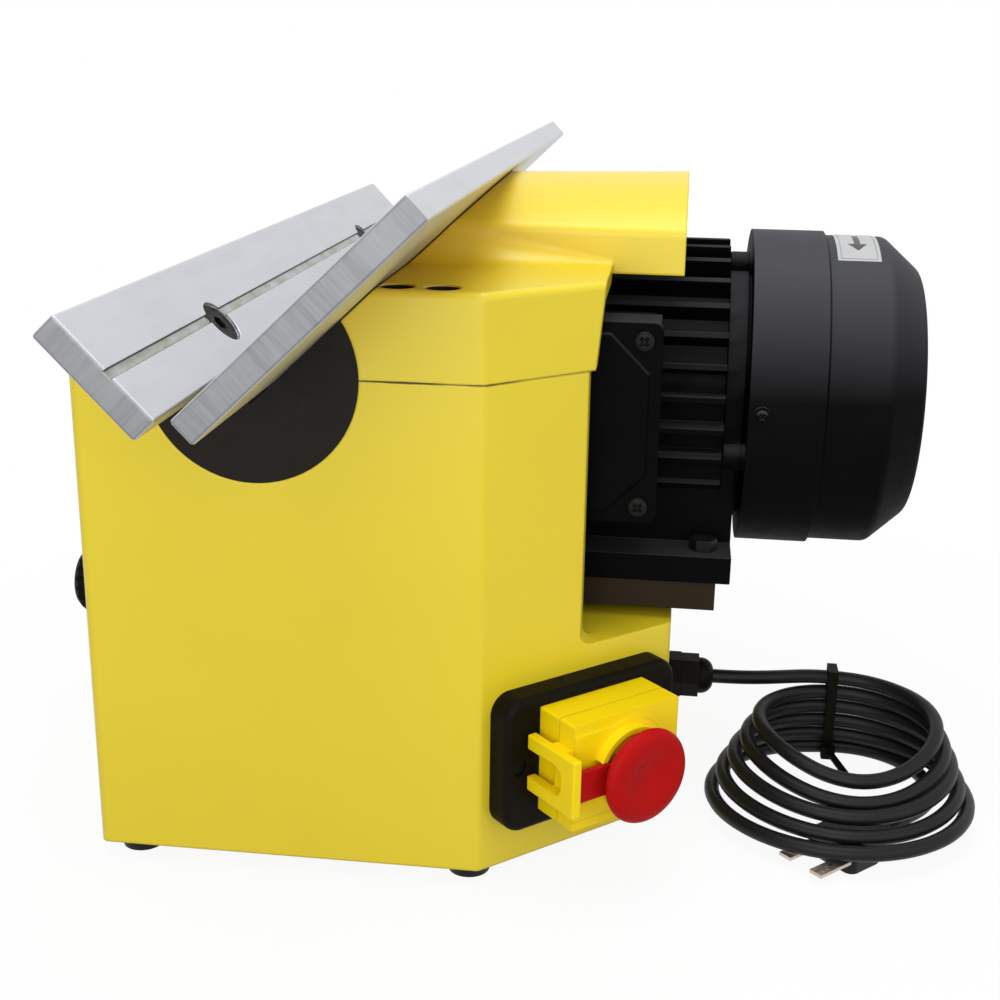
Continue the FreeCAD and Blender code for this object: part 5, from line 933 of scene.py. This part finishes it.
class MACHINE_OT_stage(bpy.types.Operator):
    """Set the floor, the soft studio light and the camera"""

    bl_idname = "machine.stage"
    bl_label = "Stage"

    def execute(self, context):
        scene = context.scene
        settings = scene.stage_settings
        self.add_floor(scene)
        self.add_world(scene, settings.sky)
        for name, setting, place, size in LAMPS:
            self.add_lamp(scene, name, place, size, getattr(settings, setting))
        self.add_camera(scene, settings)
        scene.view_settings.view_transform = "Standard"
        return {"FINISHED"}

    def add_floor(self, scene):
        """Pale floor that keeps the shadow near the machine and runs out to plain white further off."""
        mesh = bpy.data.meshes.new("floor")
        size = FLOOR_SIZE
        corners = [(-size, -size, 0), (size, -size, 0), (size, size, 0), (-size, size, 0)]
        mesh.from_pydata(corners, [], [(0, 1, 2, 3)])
        floor = bpy.data.objects.new("floor", mesh)
        scene.collection.objects.link(floor)
        paint = Finish("floor white", FLOOR_COLOR, 0.9)
        tree = paint.tree
        distance = tree.nodes.new("ShaderNodeVectorMath")
        distance.operation = "DISTANCE"
        distance.inputs[1].default_value = FLOOR_MIDDLE
        tree.links.new(paint.place, distance.inputs[0])
        far = paint.spread(distance.outputs["Value"], FLOOR_SHADOW_REACH, 2 * FLOOR_SHADOW_REACH,
                           FLOOR_GLOW, 1.0)
        white = tree.nodes.new("ShaderNodeEmission")
        bounce = tree.nodes.new("ShaderNodeBsdfDiffuse")
        bounce.inputs["Color"].default_value = (*FLOOR_BOUNCE, 1.0)
        seen = tree.nodes.new("ShaderNodeMixShader")
        tree.links.new(far, seen.inputs["Fac"])
        tree.links.new(paint.shader.outputs["BSDF"], seen.inputs[1])
        tree.links.new(white.outputs["Emission"], seen.inputs[2])
        pick = tree.nodes.new("ShaderNodeMixShader")
        tree.links.new(seeing_rays(tree), pick.inputs["Fac"])
        tree.links.new(bounce.outputs["BSDF"], pick.inputs[1])
        tree.links.new(seen.outputs["Shader"], pick.inputs[2])
        tree.links.new(pick.outputs["Shader"], tree.nodes["Material Output"].inputs["Surface"])
        mesh.materials.append(paint.material)

    def add_world(self, scene, strength):
        """Even light on the machine, in front of a plain white background."""
        world = bpy.data.worlds.new("studio")
        world.use_nodes = True
        scene.world = world
        tree = world.node_tree
        soft = tree.nodes["Background"]
        soft.inputs["Color"].default_value = WHITE
        soft.inputs["Strength"].default_value = strength
        white = tree.nodes.new("ShaderNodeBackground")
        white.inputs["Color"].default_value = WHITE
        white.inputs["Strength"].default_value = 1.0
        pick = tree.nodes.new("ShaderNodeMixShader")
        tree.links.new(seeing_rays(tree), pick.inputs["Fac"])
        tree.links.new(soft.outputs["Background"], pick.inputs[1])
        tree.links.new(white.outputs["Background"], pick.inputs[2])
        tree.links.new(pick.outputs["Shader"], tree.nodes["World Output"].inputs["Surface"])

    def add_lamp(self, scene, name, place, size, power):
        data = bpy.data.lights.new(name, "AREA")
        data.shape = "SQUARE"
        data.size = size
        data.energy = power
        lamp = bpy.data.objects.new(name, data)
        lamp.location = place
        lamp.rotation_euler = (LAMP_TARGET - place).to_track_quat("-Z", "Y").to_euler()
        scene.collection.objects.link(lamp)

    def add_camera(self, scene, settings):
        camera = bpy.data.objects.new("camera", bpy.data.cameras.new("camera"))
        scene.collection.objects.link(camera)
        camera.data.sensor_width = SENSOR_WIDTH
        camera.data.lens = settings.lens
        camera.data.clip_start = CAMERA_NEAR
        camera.data.clip_end = CAMERA_FAR
        level = math.cos(settings.pitch)
        forward = Vector((-math.sin(settings.yaw) * level, math.cos(settings.yaw) * level,
                          -math.sin(settings.pitch)))
        right = Vector((math.cos(settings.yaw), math.sin(settings.yaw), 0.0))
        up = right.cross(forward)
        across = right * math.cos(settings.roll) + up * math.sin(settings.roll)
        above = up * math.cos(settings.roll) - right * math.sin(settings.roll)
        turn = Matrix((across, above, -forward)).transposed().to_4x4()
        camera.matrix_world = Matrix.Translation(Vector(settings.eye)) @ turn
        scene.camera = camera


class MACHINE_PT_panel(bpy.types.Panel):
    """Lists the steps that dress the machine"""

    bl_idname = "MACHINE_PT_panel"
    bl_label = "Chamfering machine"
    bl_space_type = "VIEW_3D"
    bl_region_type = "UI"
    bl_category = "Chamfering"

    def draw(self, context):
        for step in STEPS:
            self.layout.operator(step.bl_idname)


STEPS = (MACHINE_OT_finishes, MACHINE_OT_cord, MACHINE_OT_fittings, MACHINE_OT_label, MACHINE_OT_stage)
CLASSES = (MachineSettings, StageSettings, *STEPS, MACHINE_PT_panel)


def register():
    for item in CLASSES:
        bpy.utils.register_class(item)
    bpy.types.Scene.machine_settings = PointerProperty(type=MachineSettings)
    bpy.types.Scene.stage_settings = PointerProperty(type=StageSettings)


def unregister():
    del bpy.types.Scene.stage_settings
    del bpy.types.Scene.machine_settings
    for item in reversed(CLASSES):
        bpy.utils.unregister_class(item)


def main():
    register()
    bpy.ops.machine.finishes()
    bpy.ops.machine.cord()
    bpy.ops.machine.fittings()
    bpy.ops.machine.label()
    bpy.ops.machine.stage()


if __name__ == "__main__":
    main()
